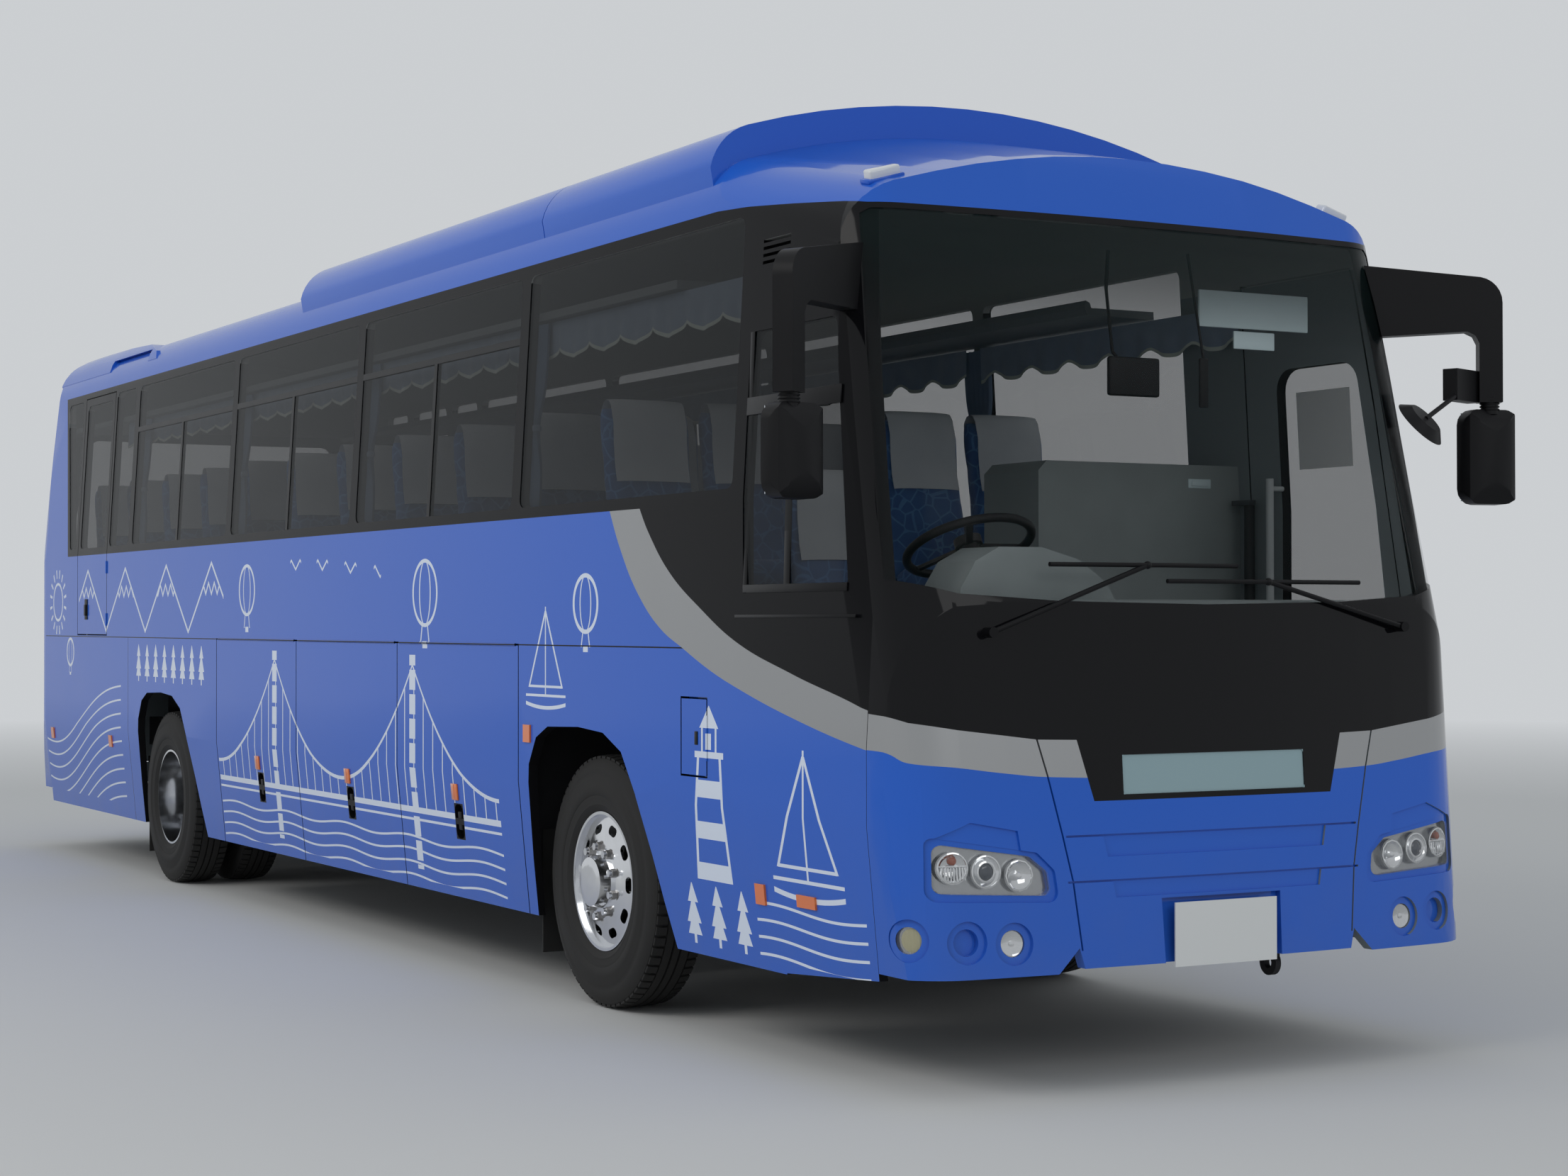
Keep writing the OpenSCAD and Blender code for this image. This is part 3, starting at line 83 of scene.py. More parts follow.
view = {
    "place": (-5.8154, -13.3334, 1.593), "yaw": 0.5069, "pitch": 0.0119, "roll": 0.0012, "lens": 61.24,
    "sensor": 36, "farEnd": 300
}
camData = bpy.data.cameras.new("viewCamera")
camera = linked("viewCamera", camData)
camData.lens = view["lens"]
camData.sensor_width = view["sensor"]
camData.clip_end = view["farEnd"]
level = math.cos(view["pitch"])
forward = Vector((math.sin(view["yaw"]) * level, math.cos(view["yaw"]) * level, math.sin(view["pitch"])))
turn = forward.to_track_quat("-Z", "Y").to_matrix().to_4x4()
camera.matrix_world = Matrix.Translation(view["place"]) @ turn @ Matrix.Rotation(-view["roll"], 4, "Z")
bpy.context.scene.camera = camera
bpy.context.scene.view_settings.view_transform = "Standard"


# Shader tools

def maths(kind):
    return lambda self, *others: self.op(kind, *others)


class Wire:
    # A node's output, on which shader maths is written
    __add__ = __radd__ = maths("ADD")
    __mul__ = __rmul__ = maths("MULTIPLY")
    __sub__ = maths("SUBTRACT")
    __truediv__ = maths("DIVIDE")
    __lt__ = maths("LESS_THAN")
    __gt__ = maths("GREATER_THAN")
    min = maths("MINIMUM")
    max = maths("MAXIMUM")
    abs = maths("ABSOLUTE")
    sin = maths("SINE")
    root = maths("SQRT")
    part = maths("FRACT")
    zigzag = maths("PINGPONG")

    def __init__(self, tree, socket):
        self.tree = tree
        self.socket = socket

    def op(self, kind, *others):
        n = self.tree.nodes.new("ShaderNodeMath")
        n.operation = kind
        for i, v in enumerate((self,) + others):
            plug(self.tree, v, n.inputs[i])
        return Wire(self.tree, n.outputs[0])

    def __rsub__(self, o):
        return (self * -1) + o

    def within(self, lo, hi):
        return (self > lo) * (self < hi)

    def near(self, place, half):
        return (self - place).abs() < half


def plug(tree, value, socket):
    if isinstance(value, Wire):
        tree.links.new(value.socket, socket)
    else:
        socket.default_value = value


class Graph:
    def __init__(self, tree):
        self.tree = tree

    def make(self, kind, plugs, out=0, **settings):
        # A node with its settings, and what goes into its sockets by name or number
        n = self.tree.nodes.new("ShaderNode" + kind)
        for key, v in settings.items():
            setattr(n, key, v)
        for key, v in plugs.items():
            socket = n.inputs[key]
            if isinstance(v, tuple) and socket.type == "RGBA":
                v = (*v, 1)
            plug(self.tree, v, socket)
        return Wire(self.tree, n.outputs[out])

    def seenRays(self):
        # One where a camera, mirror or glass ray looks
        seen = self.make("LightPath", {}, out="Is Camera Ray")
        for kind in ("Is Glossy Ray", "Is Transmission Ray"):
            seen = seen.max(self.make("LightPath", {}, out=kind))
        return seen


class Finish(Graph):
    def __init__(self, name, **values):
        self.mat = bpy.data.materials.new(name)
        self.mat.use_nodes = True
        super().__init__(self.mat.node_tree)
        self.shader = self.tree.nodes["Principled BSDF"]
        self.set(**values)

    def set(self, **values):
        for key, v in values.items():
            if isinstance(v, tuple):
                v = (*v, 1)
            plug(self.tree, v, self.shader.inputs[key.replace("_", " ")])

    def spot(self, kind="Object"):
        return self.make("TexCoord", {}, out=kind)

    def axes(self, kind="Object"):
        split = self.make("SeparateXYZ", {0: self.spot(kind)})
        return [Wire(self.tree, o) for o in split.socket.node.outputs]

    def noise(self, scale, detail):
        return self.make("TexNoise", {"Vector": self.spot(), "Scale": scale, "Detail": detail}, out="Fac")

    def blend(self, mask, low, high):
        return self.make("Mix", {0: mask, 6: low, 7: high}, out=2, data_type="RGBA")

    def curve(self, x, points, lo, hi, low, high):
        # Smooth line through rows of (place, value), which run from lo to hi and from low to high
        line = self.make("FloatCurve", {"Value": (x - lo) / (hi - lo)})
        mapping = line.socket.node.mapping
        for i, (a, b) in enumerate(points):
            spot = ((a - lo) / (hi - lo), (b - low) / (high - low))
            if i < 2:
                p = mapping.curves[0].points[i]
                p.location = spot
            else:
                p = mapping.curves[0].points.new(*spot)
            p.handle_type = "AUTO"
        mapping.update()
        return line * (high - low) + low

    def bump(self, height, strength, distance):
        self.set(Normal=self.make("Bump", {"Height": height, "Strength": strength, "Distance": distance}))
        return self


# Finishes

colours = {
    "blue": (0.0165, 0.118, 0.6),
    "blueLight": (0.021, 0.136, 0.65),
    "silver": (0.36, 0.365, 0.37),
    "black": (0.004, 0.004, 0.005),
    # Near-black for faces along edges and for the roof intake: partly black rubber, partly painted shade
    "edge": (0.006, 0.006, 0.007),
    "lining": (0.22, 0.25, 0.26),
    "ceiling": (0.4, 0.41, 0.4),
    "line": (0.74, 0.81, 0.93),
    "dust": (0.16, 0.17, 0.17),
    "plate": (0.74, 0.75, 0.74),
    "display": (0.3, 0.42, 0.45),
    "lampRed": (0.42, 0.008, 0.008),
    "lampClear": (0.62, 0.62, 0.6),
    "lampOrange": (0.75, 0.16, 0.01),
}


# White line drawing on the blue, in places along the bus and heights

thin = 0.009     # half the width of a drawn line

bridge = {
    "ends": (0.86, 4.94), "half": 1.02, "cable": 0.8, "sag": 0.56, "deck": 0.7, "rail": 0.655,
    "hangerStep": 0.12, "hanger": 0.045, "towers": (1.2, 4.6), "tower": 0.038, "towerZ": (0.42, 1.43),
    "blockStep": 0.115, "block": 0.82
}


def drawBridge(d, z):
    # Two towers, hanging cables and a deck
    b = bridge
    span = (d - b["ends"][0]).zigzag(b["half"])
    cable = span * span * b["sag"] + b["cable"]
    hangers = (d / b["hangerStep"]).part().near(0.5, b["hanger"])
    marks = z.near(cable, thin).max(hangers * (z > b["deck"]) * (z < cable))
    marks = marks.max(z.near(b["deck"], 0.014)).max(z.near(b["rail"], 0.006)) * d.within(*b["ends"])
    towers = span.near(b["half"], b["tower"]) * z.within(*b["towerZ"]) * d.within(*b["towers"])
    return [marks, towers * ((z / b["blockStep"]).part() < b["block"])]


water = {"heights": (0.37, 0.6), "step": 0.062, "line": 0.17, "ripple": 0.012, "boat": (-2.24, -1.46)}


def drawWater(d, z):
    # Below the bridge and below the boat
    ripple = (d * 7).sin() * water["ripple"]
    lines = ((z - ripple) / water["step"]).part() < water["line"]
    return [lines * z.within(*water["heights"]) * d.within(*bridge["ends"]).max(d.within(*water["boat"]))]


hills = {"ends": (7.0, 9.05), "foot": 0.42, "top": 1.09, "step": 0.088, "line": 0.13}


def drawHills(d, z):
    # Terraces behind the rear wheels
    height = z - ((d * 1.15 + 0.9).sin() * 0.24 + (d * 2.7).sin() * 0.07)
    lines = (height / hills["step"]).part() < hills["line"]
    return [lines * (height < hills["top"]) * (z > hills["foot"]) * d.within(*hills["ends"])]


mountains = {"ends": (4.83, 8.05), "peak": (0.92, 0.8, 1.525), "snow": (0.11, 0.13, 1.745), "line": 0.0117}


def drawMountains(d, z):
    # Peaks with snow below the windows, each as (step, rise, foot)
    m = mountains
    peak, snow = ((d / step).zigzag(0.5) * rise + foot for step, rise, foot in (m["peak"], m["snow"]))
    lines = z.near(peak, m["line"]).max(z.near(snow, m["line"]) * (z < peak))
    return [lines * d.within(*m["ends"])]


firs = {"rows": ((5.16, 6.68, 1.215, 0.19), (-1.45, -0.84, 0.37, 0.2)), "tall": 0.235, "trunk": 0.05}


def drawFirs(d, z):
    # Above the rear wheels and by the boat, in rows of (first, last, foot, step)
    marks = []
    for lo, hi, foot, step in firs["rows"]:
        h = (z - foot) / firs["tall"]
        width = (1 - h) * 0.3 + (1 - (h * 3).part()) * 0.16
        u = 0.5 - ((d - lo) / step).part().zigzag(0.5)
        filled = (u < width * 0.8) * h.within(0.14, 0.98)
        trunk = (u < firs["trunk"]) * h.within(0.0, 0.15)
        marks.append(filled.max(trunk) * d.within(lo, hi))
    return marks


boats = ((-1.86, 0.78, 1.05), (0.34, 1.36, 0.85))     # place, height and size


def drawBoats(d, z):
    marks = []
    for a, b, size in boats:
        u = (d - a) / size
        v = (z - b) / size
        hull = ((v + 0.16 - u * u * 0.35).abs() < thin) + v.near(-0.1, thin * 0.7)
        mast = u.near(0, 0.006) * v.within(-0.1, 0.34)
        sail = ((v - 0.32 + u.abs() * 1.9).abs() < 0.016) * v.within(-0.06, 0.32)
        boom = v.near(-0.055, 0.006) * u.near(0, 0.2)
        marks.append((hull * u.within(-0.24, 0.24) + mast + sail + boom).min(1))
    return marks


lighthouse = {
    "place": -1.15, "foot": 0.62, "gallery": 1.09, "roof": 1.19, "tip": 1.275, "half": 0.135, "ring": 0.155
}


def drawLighthouse(d, z):
    # Walls with rings, a gallery, the lamp room with its lamp, and a roof
    h = lighthouse
    u = (d - h["place"]).abs()
    wall = h["half"] - (z - 0.6) * 0.1
    shaft = z.within(h["foot"], h["gallery"] - 0.01)
    return [u.near(wall, thin) * shaft,
            (u < wall) * (((z - h["foot"]) / h["ring"]).part() < 0.42) * shaft,
            (u < 0.115) * z.near(h["gallery"], 0.012),
            u.near(0.055, 0.007) * z.within(h["gallery"], h["roof"]),
            (u < 0.018) * z.within(h["gallery"] + 0.02, h["roof"] - 0.02),
            (u < (h["tip"] - z) * 0.9) * z.within(h["roof"], h["tip"])]


sun = {"place": 8.62, "height": 1.72, "radius": 0.125, "rays": (0.165, 0.225), "count": 16, "ray": 0.12}


def drawSun(d, z):
    u = d - sun["place"]
    v = z - sun["height"]
    dist = (u * u + v * v).root()
    turns = (v.op("ARCTAN2", u) * (sun["count"] / math.tau)).part()
    return [dist.near(sun["radius"], thin), turns.near(0.5, sun["ray"]) * dist.within(*sun["rays"])]


balloons = ((4.4, 1.76, 0.135), (1.72, 1.72, 0.15), (-0.06, 1.66, 0.115), (8.28, 1.38, 0.09))


def drawBalloons(d, z):
    # Rows of (place, height, radius)
    marks = []
    for a, b, r in balloons:
        u = ((d - a) / r).abs()
        v = (z - b) / r
        side = (1 - (v * v).min(1)).root()
        marks.append((((u * u + v * v).root() - 1).abs() * r) < thin)
        marks.append(u.near(side * 0.45, 0.04) * (v.abs() < 0.97))
        marks.append(((u - 0.22 + (v + 1) * 0.25).abs() < 0.04) * v.within(-1.55, -0.97))
        marks.append((u < 0.2) * v.within(-1.72, -1.5))
    return marks


birds = {"ends": (2.3, 3.9), "height": 1.86, "step": 0.42, "wing": 0.062, "line": 0.007}


def drawBirds(d, z):
    wing = ((d / birds["step"]).part() - 0.5).abs() * 0.3
    line = (z - birds["height"] + (wing - 0.05).abs() + (d * 1.3).sin() * 0.05).abs() < birds["line"]
    return [line * (wing < birds["wing"]) * d.within(*birds["ends"])]


def livery(d, z):
    # One on the lines of the drawing, zero beside them
    marks = drawBridge(d, z)
    for draw in (drawWater, drawHills, drawMountains, drawFirs, drawBoats, drawLighthouse, drawSun,
                 drawBalloons, drawBirds):
        marks += draw(d, z)
    total = marks[0]
    for m in marks[1:]:
        total = total.max(m)
    return total


# Coach paint: the silver band's edges are rows of (place, height)

band = {
    "front": -2.3, "lowEnd": -0.25, "highEnd": -0.52, "heights": (1.0, 2.2), "low": [(-2.3, 1.155),
    (-2.27, 1.159), (-1.78, 1.249), (-1.37, 1.345), (-1.163, 1.404), (-0.937, 1.485), (-0.745, 1.56),
    (-0.547, 1.697), (-0.387, 1.877), (-0.293, 2.025), (-0.25, 2.1)], "high": [(-2.3, 1.286),
    (-2.287, 1.29), (-1.78, 1.403), (-1.37, 1.511), (-1.081, 1.636), (-0.83, 1.771), (-0.656, 1.919),
    (-0.567, 2.025), (-0.52, 2.1)], "nose": [(0.0, 1.055), (0.69, 1.064), (0.856, 1.08), (1.037, 1.103),
    (1.178, 1.118), (1.245, 1.157), (1.3, 1.158)], "noseEnd": 1.3, "noseHeights": (1.0, 1.2),
    "metal": 0.7, "rough": 0.14
}
glassBand = {"foot": 2.028, "rear": 8.36, "leanFrom": 2.044, "lean": 0.247}
seams = {
    "panel": 1.487, "panelEnd": 8.96, "corner": -2.295, "cornerFrom": 1.6, "cornerLean": 0.203,
    "rear": 6.83, "half": 0.0028, "pulls": (1.341, 2.771, 4.194), "pullZ": 0.68, "pullHalf": (0.052, 0.082)
}
plate = {"halfWidth": 0.2205, "middle": 0.5155, "halfHeight": 0.1105, "front": -6.0025}
intake = {"inner": 1.02, "foot": 3.2, "top": 3.32, "front": 6.7, "rear": 7.64}
paint = {
    "coat": 0.5, "coatRough": 0.05, "shine": 0.08, "rough": 0.18, "patches": 0.1, "dustTop": 0.95,
    "dust": 0.35, "liningRough": 0.45, "grain": 160
}
shell = {"ends": 5.15, "halfLength": 5.9, "halfWidth": 1.2, "roof": 2.95, "slope": 0.25}


def coachPaint(name, side=False, nose=False, lined=True):
    f = Finish(name)
    x, y, z = f.axes()
    d = y - axleFront
    flake = f.noise(900, detail=1)
    colour = f.blend(flake * 0.5, colours["blue"], colours["blueLight"])
    rough = f.noise(3.0, detail=3) * paint["patches"] + paint["rough"]
    dust = f.noise(5.0, detail=6) * (paint["dustTop"] - z).max(0) * paint["dust"]
    colour = f.blend(dust.min(0.2), colour, colours["dust"])
    coat = paint["coat"]
    if side:
        half = seams["half"]
        first, last, top = band["front"], band["lowEnd"], band["highEnd"]
        low = f.curve(d.max(first).min(last), band["low"], first, last, *band["heights"])
        high = f.curve(d.max(first).min(top), band["high"], first, top, *band["heights"])
        rearEdge = (z - glassBand["leanFrom"]) * glassBand["lean"] + glassBand["rear"]
        black = ((z > high) * (d < top - 0.01)).max((z > glassBand["foot"]) * (d < rearEdge))
        silver = (z > low) * (d < last - 0.002)
        drawing = livery(d, z) * (z < glassBand["foot"] - 0.008) * (1 - silver)
        colour = f.blend(drawing, colour, colours["line"])
        colour = f.blend(silver, colour, colours["silver"])
        lines = z.near(seams["panel"], half) * (1 - silver) * (d < seams["panelEnd"])
        lines = lines.max(d.near(seams["rear"], half) * (z < seams["panel"]))
        lean = (z - seams["cornerFrom"]).max(0) * seams["cornerLean"] + seams["corner"]
        lines = lines.max(d.near(lean, half))
        for p in seams["pulls"]:
            across, up = seams["pullHalf"]
            lines = lines.max(d.near(p, across) * z.near(seams["pullZ"], up))
        black = black.max(lines)
        colour = f.blend(black, colour, colours["black"])
        bare = silver * (1 - black)
        f.set(Metallic=bare * band["metal"])
        rough = rough + bare * band["rough"]
        coat = (1 - black) * paint["coat"]
    if nose:
        silver = z > f.curve(x.abs().min(band["noseEnd"] - 0.01), band["nose"], 0.0, band["noseEnd"],
                             *band["noseHeights"])
        colour = f.blend(silver, colour, colours["silver"])
        f.set(Metallic=silver * band["metal"])
        rough = rough + silver * band["rough"]
        white = x.near(0, plate["halfWidth"]) * z.near(plate["middle"], plate["halfHeight"])
        white = white * (y < plate["front"])
        colour = f.blend(white, colour, colours["plate"])
        coat = (1 - white) * paint["coat"]
    if lined:
        # Which way a face looks: out of the body, along its edge or into the cabin
        nx, ny, nz = f.axes("Normal")
        outward = x * nx / shell["halfWidth"] + y * ny / shell["halfLength"] * (y.abs() > shell["ends"]) \
            + nz * (z > shell["roof"])
        inward = outward < -shell["slope"]
        hidden = inward
        if not nose:
            # Faces that look along an edge are painted near-black: partly black rubber at the window edges,
            # partly painted shade in recesses, slots and the arches' lips
            edge = (outward.abs() < shell["slope"]) * (z < shell["roof"])
            colour = f.blend(edge, colour, colours["edge"])
            hidden = hidden.max(edge)
        lining = f.blend(z > shell["roof"], colours["lining"], colours["ceiling"])
        colour = f.blend(inward, colour, lining)
        coat = (1 - hidden) * coat
        rough = rough + hidden * paint["liningRough"]
    else:
        # Painted shade: the roof scoop's intake opening is drawn as a near-black patch on the fairing
        dark = (x.abs() < intake["inner"]) * z.within(intake["foot"], intake["top"]) \
            * d.within(intake["front"], intake["rear"])
        colour = f.blend(dark, colour, colours["edge"])
        coat = (1 - dark) * paint["coat"]
    f.set(Base_Color=colour, Roughness=rough, Coat_Weight=coat, Coat_Roughness=paint["coatRough"],
          Specular_IOR_Level=paint["shine"])
    return f.bump(f.noise(paint["grain"], detail=1), 0.02, 0.0005)


def plain(name, colour, rough, grain=0, depth=0.1, metal=0.0, coat=0.0, vary=0.0, varyScale=6, shine=0.5):
    # One colour that varies in patches, with a fine grain
    f = Finish(name, Metallic=metal, Coat_Weight=coat, Specular_IOR_Level=shine)
    spots = f.noise(varyScale, detail=6)
    low = tuple(c * (1 - vary) for c in colour)
    high = tuple(min(1, c * (1 + vary)) for c in colour)
    f.set(Base_Color=f.blend(spots, low, high), Roughness=spots * rough * 0.3 + rough * 0.85)
    if grain:
        f.bump(f.noise(grain, detail=3), depth, 0.002)
    return f


paintSide = coachPaint("coachPaintSide", side=True)
paintPlain = coachPaint("coachPaintPlain")
paintTop = coachPaint("coachPaintTop", lined=False)
paintNose = coachPaint("coachPaintNose", nose=True)
mouldedBlack = plain("mouldedBlack", (0.007, 0.007, 0.008), 0.42, 700, 0.12, vary=0.2, shine=0.16)
trimBlack = plain("trimBlack", (0.005, 0.005, 0.006), 0.3, 500, 0.06, vary=0.1, shine=0.16)
dashGrey = plain("dashGrey", (0.22, 0.25, 0.25), 0.62, 900, 0.2, vary=0.15)
panelGrey = plain("panelGrey", (0.18, 0.2, 0.21), 0.55, 600, 0.1, vary=0.1)
frameSteel = plain("frameSteel", (0.012, 0.012, 0.014), 0.62, 60, 0.25, vary=0.5, varyScale=9, shine=0.3)
castIron = plain("castIron", (0.03, 0.028, 0.026), 0.72, 90, 0.4, metal=0.2, vary=0.5, varyScale=14)
engineIron = plain("engineIron", (0.07, 0.07, 0.07), 0.6, 70, 0.3, metal=0.4, vary=0.4)
floorCover = plain("floorCover", (0.05, 0.055, 0.062), 0.7, 400, 0.25, vary=0.3, varyScale=40)
rubber = plain("rubber", (0.02, 0.0195, 0.019), 0.74, 260, 0.25, vary=0.35, varyScale=12, shine=0.35)
alloy = plain("alloy", (0.78, 0.79, 0.81), 0.13, metal=1.0, vary=0.08, varyScale=20)
steelBright = plain("steelBright", (0.36, 0.35, 0.34), 0.36, 120, 0.1, metal=1.0, vary=0.25, varyScale=30)
chrome = plain("chrome", (0.8, 0.81, 0.82), 0.07, metal=1.0)
lampSilver = plain("lampSilver", (0.42, 0.43, 0.44), 0.2, metal=0.9, vary=0.1)
mirrorGlass = plain("mirrorGlass", (0.72, 0.76, 0.79), 0.02, metal=1.0)
orangeLens = plain("orangeLens", (0.82, 0.17, 0.008), 0.18, coat=1.0, vary=0.05)
waves = orangeLens.make("TexWave", {"Vector": orangeLens.spot(), "Scale": 60.0}, out="Fac")
orangeLens.bump(waves, 0.15, 0.001)
orangeDark = plain("orangeDark", (0.3, 0.045, 0.003), 0.12, coat=1.0, vary=0.1)
fogGlow = plain("fogGlow", (0.5, 0.46, 0.26), 0.25, coat=1.0)
fogGlow.bump((fogGlow.axes()[0] * 900).sin(), 0.4, 0.001)     # upright ribs
plateWhite = plain("plateWhite", colours["plate"], 0.35, vary=0.03)
coverPlastic = plain("coverPlastic", (0.42, 0.45, 0.45), 0.45, 500, 0.08, vary=0.05)
signWhite = plain("signWhite", (0.55, 0.66, 0.68), 0.5, vary=0.05)
markerWhite = plain("markerWhite", (0.7, 0.72, 0.74), 0.12, coat=1.0)
lensDark = plain("lensDark", (0.03, 0.04, 0.06), 0.04, coat=1.0)

# Mask of the front, with the blank destination display
maskBlack = plain("maskBlack", colours["black"], 0.07, vary=0.1, shine=0.2)
display = {"half": 0.3945, "middle": 1.0645, "halfHeight": 0.067}
x, y, z = maskBlack.axes()
window = (x.abs() < display["half"]) * z.near(display["middle"], display["halfHeight"]) * (y < -5.5)
maskBlack.set(Base_Color=maskBlack.blend(window, colours["black"], colours["display"]))

# Rear lamps: red, then clear, then orange, then red again
rearLamp = {"clear": (0.9, 1.06), "orange": (1.06, 1.22), "rib": 0.008}
redLens = plain("redLens", colours["lampRed"], 0.12, coat=1.0, vary=0.1)
x, y, z = redLens.axes()
shade = redLens.blend(z.within(*rearLamp["clear"]), colours["lampRed"], colours["lampClear"])
redLens.set(Base_Color=redLens.blend(z.within(*rearLamp["orange"]), shade, colours["lampOrange"]))
redLens.bump(((z / rearLamp["rib"]).part() - 0.5).abs(), 0.2, 0.001)


def pane(name, colour, alpha, rise, band=None):
    # Tinted glass that covers more where it is seen at a slant, with a darker band along its top
    f = Finish(name, Base_Color=colour, Roughness=0.0, IOR=1.45, Specular_IOR_Level=0.22)
    cover = f.make("LayerWeight", {"Blend": 0.3}, out="Facing") * rise + alpha
    if band:
        foot, top, more = band
        x, y, z = f.axes()
        cover = cover + ((z - foot) / (top - foot)).max(0).min(1) * more
    f.set(Alpha=cover.min(1))
    f.mat.surface_render_method = "BLENDED"
    return f


sideGlass = pane("sideGlass", (0.004, 0.006, 0.007), 0.36, 0.25)
windshieldGlass = pane("windshieldGlass", (0.004, 0.012, 0.012), 0.07, 0.1, band=(2.6, 2.95, 0.45))
lampGlass = pane("lampGlass", (0.3, 0.31, 0.32), 0.08, 0.15)


weave = {"threads": 1400, "checkLine": 0.045}


def cloth(name, dark, light, checks=None):
    f = Finish(name, Roughness=0.9, Sheen_Weight=0.25)
    x, y, z = f.axes()
    threads = (x * weave["threads"]).sin() * (z * weave["threads"] + y * weave["threads"]).sin()
    tone = f.noise(9, detail=5)
    mask = tone * 0.6 + threads * 0.1 + 0.1
    if checks:
        cells = f.make("TexVoronoi", {"Vector": f.spot(), "Scale": checks}, out="Distance",
                       feature="DISTANCE_TO_EDGE")
        mask = (mask + (cells < weave["checkLine"]) * 0.6).min(1)
    f.set(Base_Color=f.blend(mask, dark, light))
    return f.bump(threads + tone * 2, 0.2, 0.001)


seatCloth = cloth("seatCloth", (0.016, 0.06, 0.24), (0.1, 0.26, 0.55), checks=14)
coverCloth = cloth("coverCloth", (0.62, 0.66, 0.69), (0.8, 0.83, 0.85))
curtainCloth = cloth("curtainCloth", (0.11, 0.17, 0.28), (0.26, 0.34, 0.46))
valanceCloth = cloth("valanceCloth", (0.2, 0.26, 0.36), (0.36, 0.43, 0.52))
fringeCloth = cloth("fringeCloth", (0.5, 0.56, 0.5), (0.7, 0.75, 0.68))
print("finishes made")


def dress(names, finish):
    # Gives CAD nodes a finish, welds their loose triangles and shades the curved skin smoothly
    for n in names:
        o = node[n]
        if not o.data.materials:
            o.data.materials.append(finish.mat)
        for s in o.material_slots:
            s.material = finish.mat
        for p in o.data.polygons:
            p.use_smooth = True
        weld = o.modifiers.new("weld", "WELD")
        weld.merge_threshold = 0.0002
        split = o.modifiers.new("split", "EDGE_SPLIT")
        split.split_angle = math.radians(28)
        o.modifiers.new("weighted", "WEIGHTED_NORMAL")


doors = ["luggage_door_%s_%d" % (s, i) for s in ("right", "left") for i in (1, 2, 3)]
wheels = ["front_right", "front_left", "rear_right", "rear_left"]
for finish, names in (
        (paintSide, "side_wall_right side_wall_left entrance_surround entrance_door"),
        (paintSide, "emergency_door filler_door " + " ".join(doors)), (paintTop, "roof_fairing"),
        (paintPlain, "roof rear_wall engine_lid"), (paintNose, "front_bumper"), (maskBlack, "front_panel"),
        (sideGlass, "windows_right windows_left emergency_window entrance_window rear_window"),
        (windshieldGlass, "windshield"), (lampGlass, "lamp_glass"), (trimBlack, "window_frames wipers"),
        (mouldedBlack, "mirrors steering_wheel"), (dashGrey, "dashboard"), (panelGrey, "luggage_racks"),
        (floorCover, "floor cab_floor"), (frameSteel, "chassis bay_floor wheel_housings door_arm"),
        (castIron, "front_axle rear_axle knuckle_right knuckle_left"), (engineIron, "engine"),
        (alloy, "wheel_front_right wheel_front_left wheels_rear_right wheels_rear_left"),
        (rubber, "mudflaps"), (orangeLens, "marker_lamps"), (redLens, "rear_lamps"),
        (lampSilver, "front_lamps")):
    dress(names.split(), finish)
print("nodes dressed")


# Tools for new pieces

skin = {
    "nose": -5.995, "foot": 0.5, "faceFoot": 1.65, "leanLow": math.radians(4),
    "leanHigh": math.radians(15), "radius": 10.5, "cornerAt": 1.0224, "corner": (0.998, 0.2987, 0.25),
    "belt": 2.03, "tumblehome": 0.0591, "tuckAt": 0.9, "tuck": 0.0965
}


def noseAt(x, z):
    # Place of the front skin at a width and height
    a = abs(x)
    if a < skin["cornerAt"]:
        p = skin["radius"] - math.sqrt(skin["radius"] ** 2 - a * a)
    else:
        cx, cy, r = skin["corner"]
        p = cy - math.sqrt(max(0.0, r * r - (a - cx) ** 2))
    foot = skin["nose"] + (min(z, skin["faceFoot"]) - skin["foot"]) * math.tan(skin["leanLow"])
    return foot + max(0.0, z - skin["faceFoot"]) * math.tan(skin["leanHigh"]) + p


def sideAt(z):
    # Half width of the skin at a height
    return (halfWidth - max(0.0, z - skin["belt"]) * skin["tumblehome"]
            - max(0.0, skin["tuckAt"] - z) * skin["tuck"])


def ontoNose(bm):
    # Moves a piece drawn as (x, depth, z) onto the front skin
    for v in bm.verts:
        v.co.y += noseAt(v.co.x, v.co.z)


def ontoSide(bm, side):
    # Moves a piece drawn as (depth inwards, place along the bus, z) onto a side wall
    for v in bm.verts:
        v.co.x = side * (sideAt(v.co.z) - v.co.x)
        v.co.y = at(v.co.y)


def piece(name, bm, finish, slot, body="root", sharp=35, more=()):
    bmesh.ops.remove_doubles(bm, verts=bm.verts, dist=1e-5)
    bmesh.ops.recalc_face_normals(bm, faces=bm.faces)
    mesh = meshOf(name, bm)
    for f in (finish, *more):
        mesh.materials.append(f.mat)
    for p in mesh.polygons:
        p.use_smooth = True
    mesh.set_sharp_from_angle(angle=math.radians(sharp))
    o = linked(name, mesh)
    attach(o, body)
    return o


def box(bm, lo, hi, round=0.0, steps=2):
    lo, hi = Vector(lo), Vector(hi)
    made = bmesh.ops.create_cube(bm, size=1)["verts"]
    bmesh.ops.scale(bm, vec=hi - lo, verts=made)
    bmesh.ops.translate(bm, vec=(lo + hi) / 2, verts=made)
    if round:
        edges = list({e for v in made for e in v.link_edges})
        bmesh.ops.bevel(bm, geom=edges, offset=round, segments=steps, profile=0.5, affect="EDGES",
                        material=-1)


def boxes(bm, rows, shift=(0, 0, 0)):
    # Rows of (lowest corner, highest corner, edge radius, edge steps), moved by a shift
    for lo, hi, *edge in rows:
        box(bm, Vector(lo) + Vector(shift), Vector(hi) + Vector(shift), *edge)


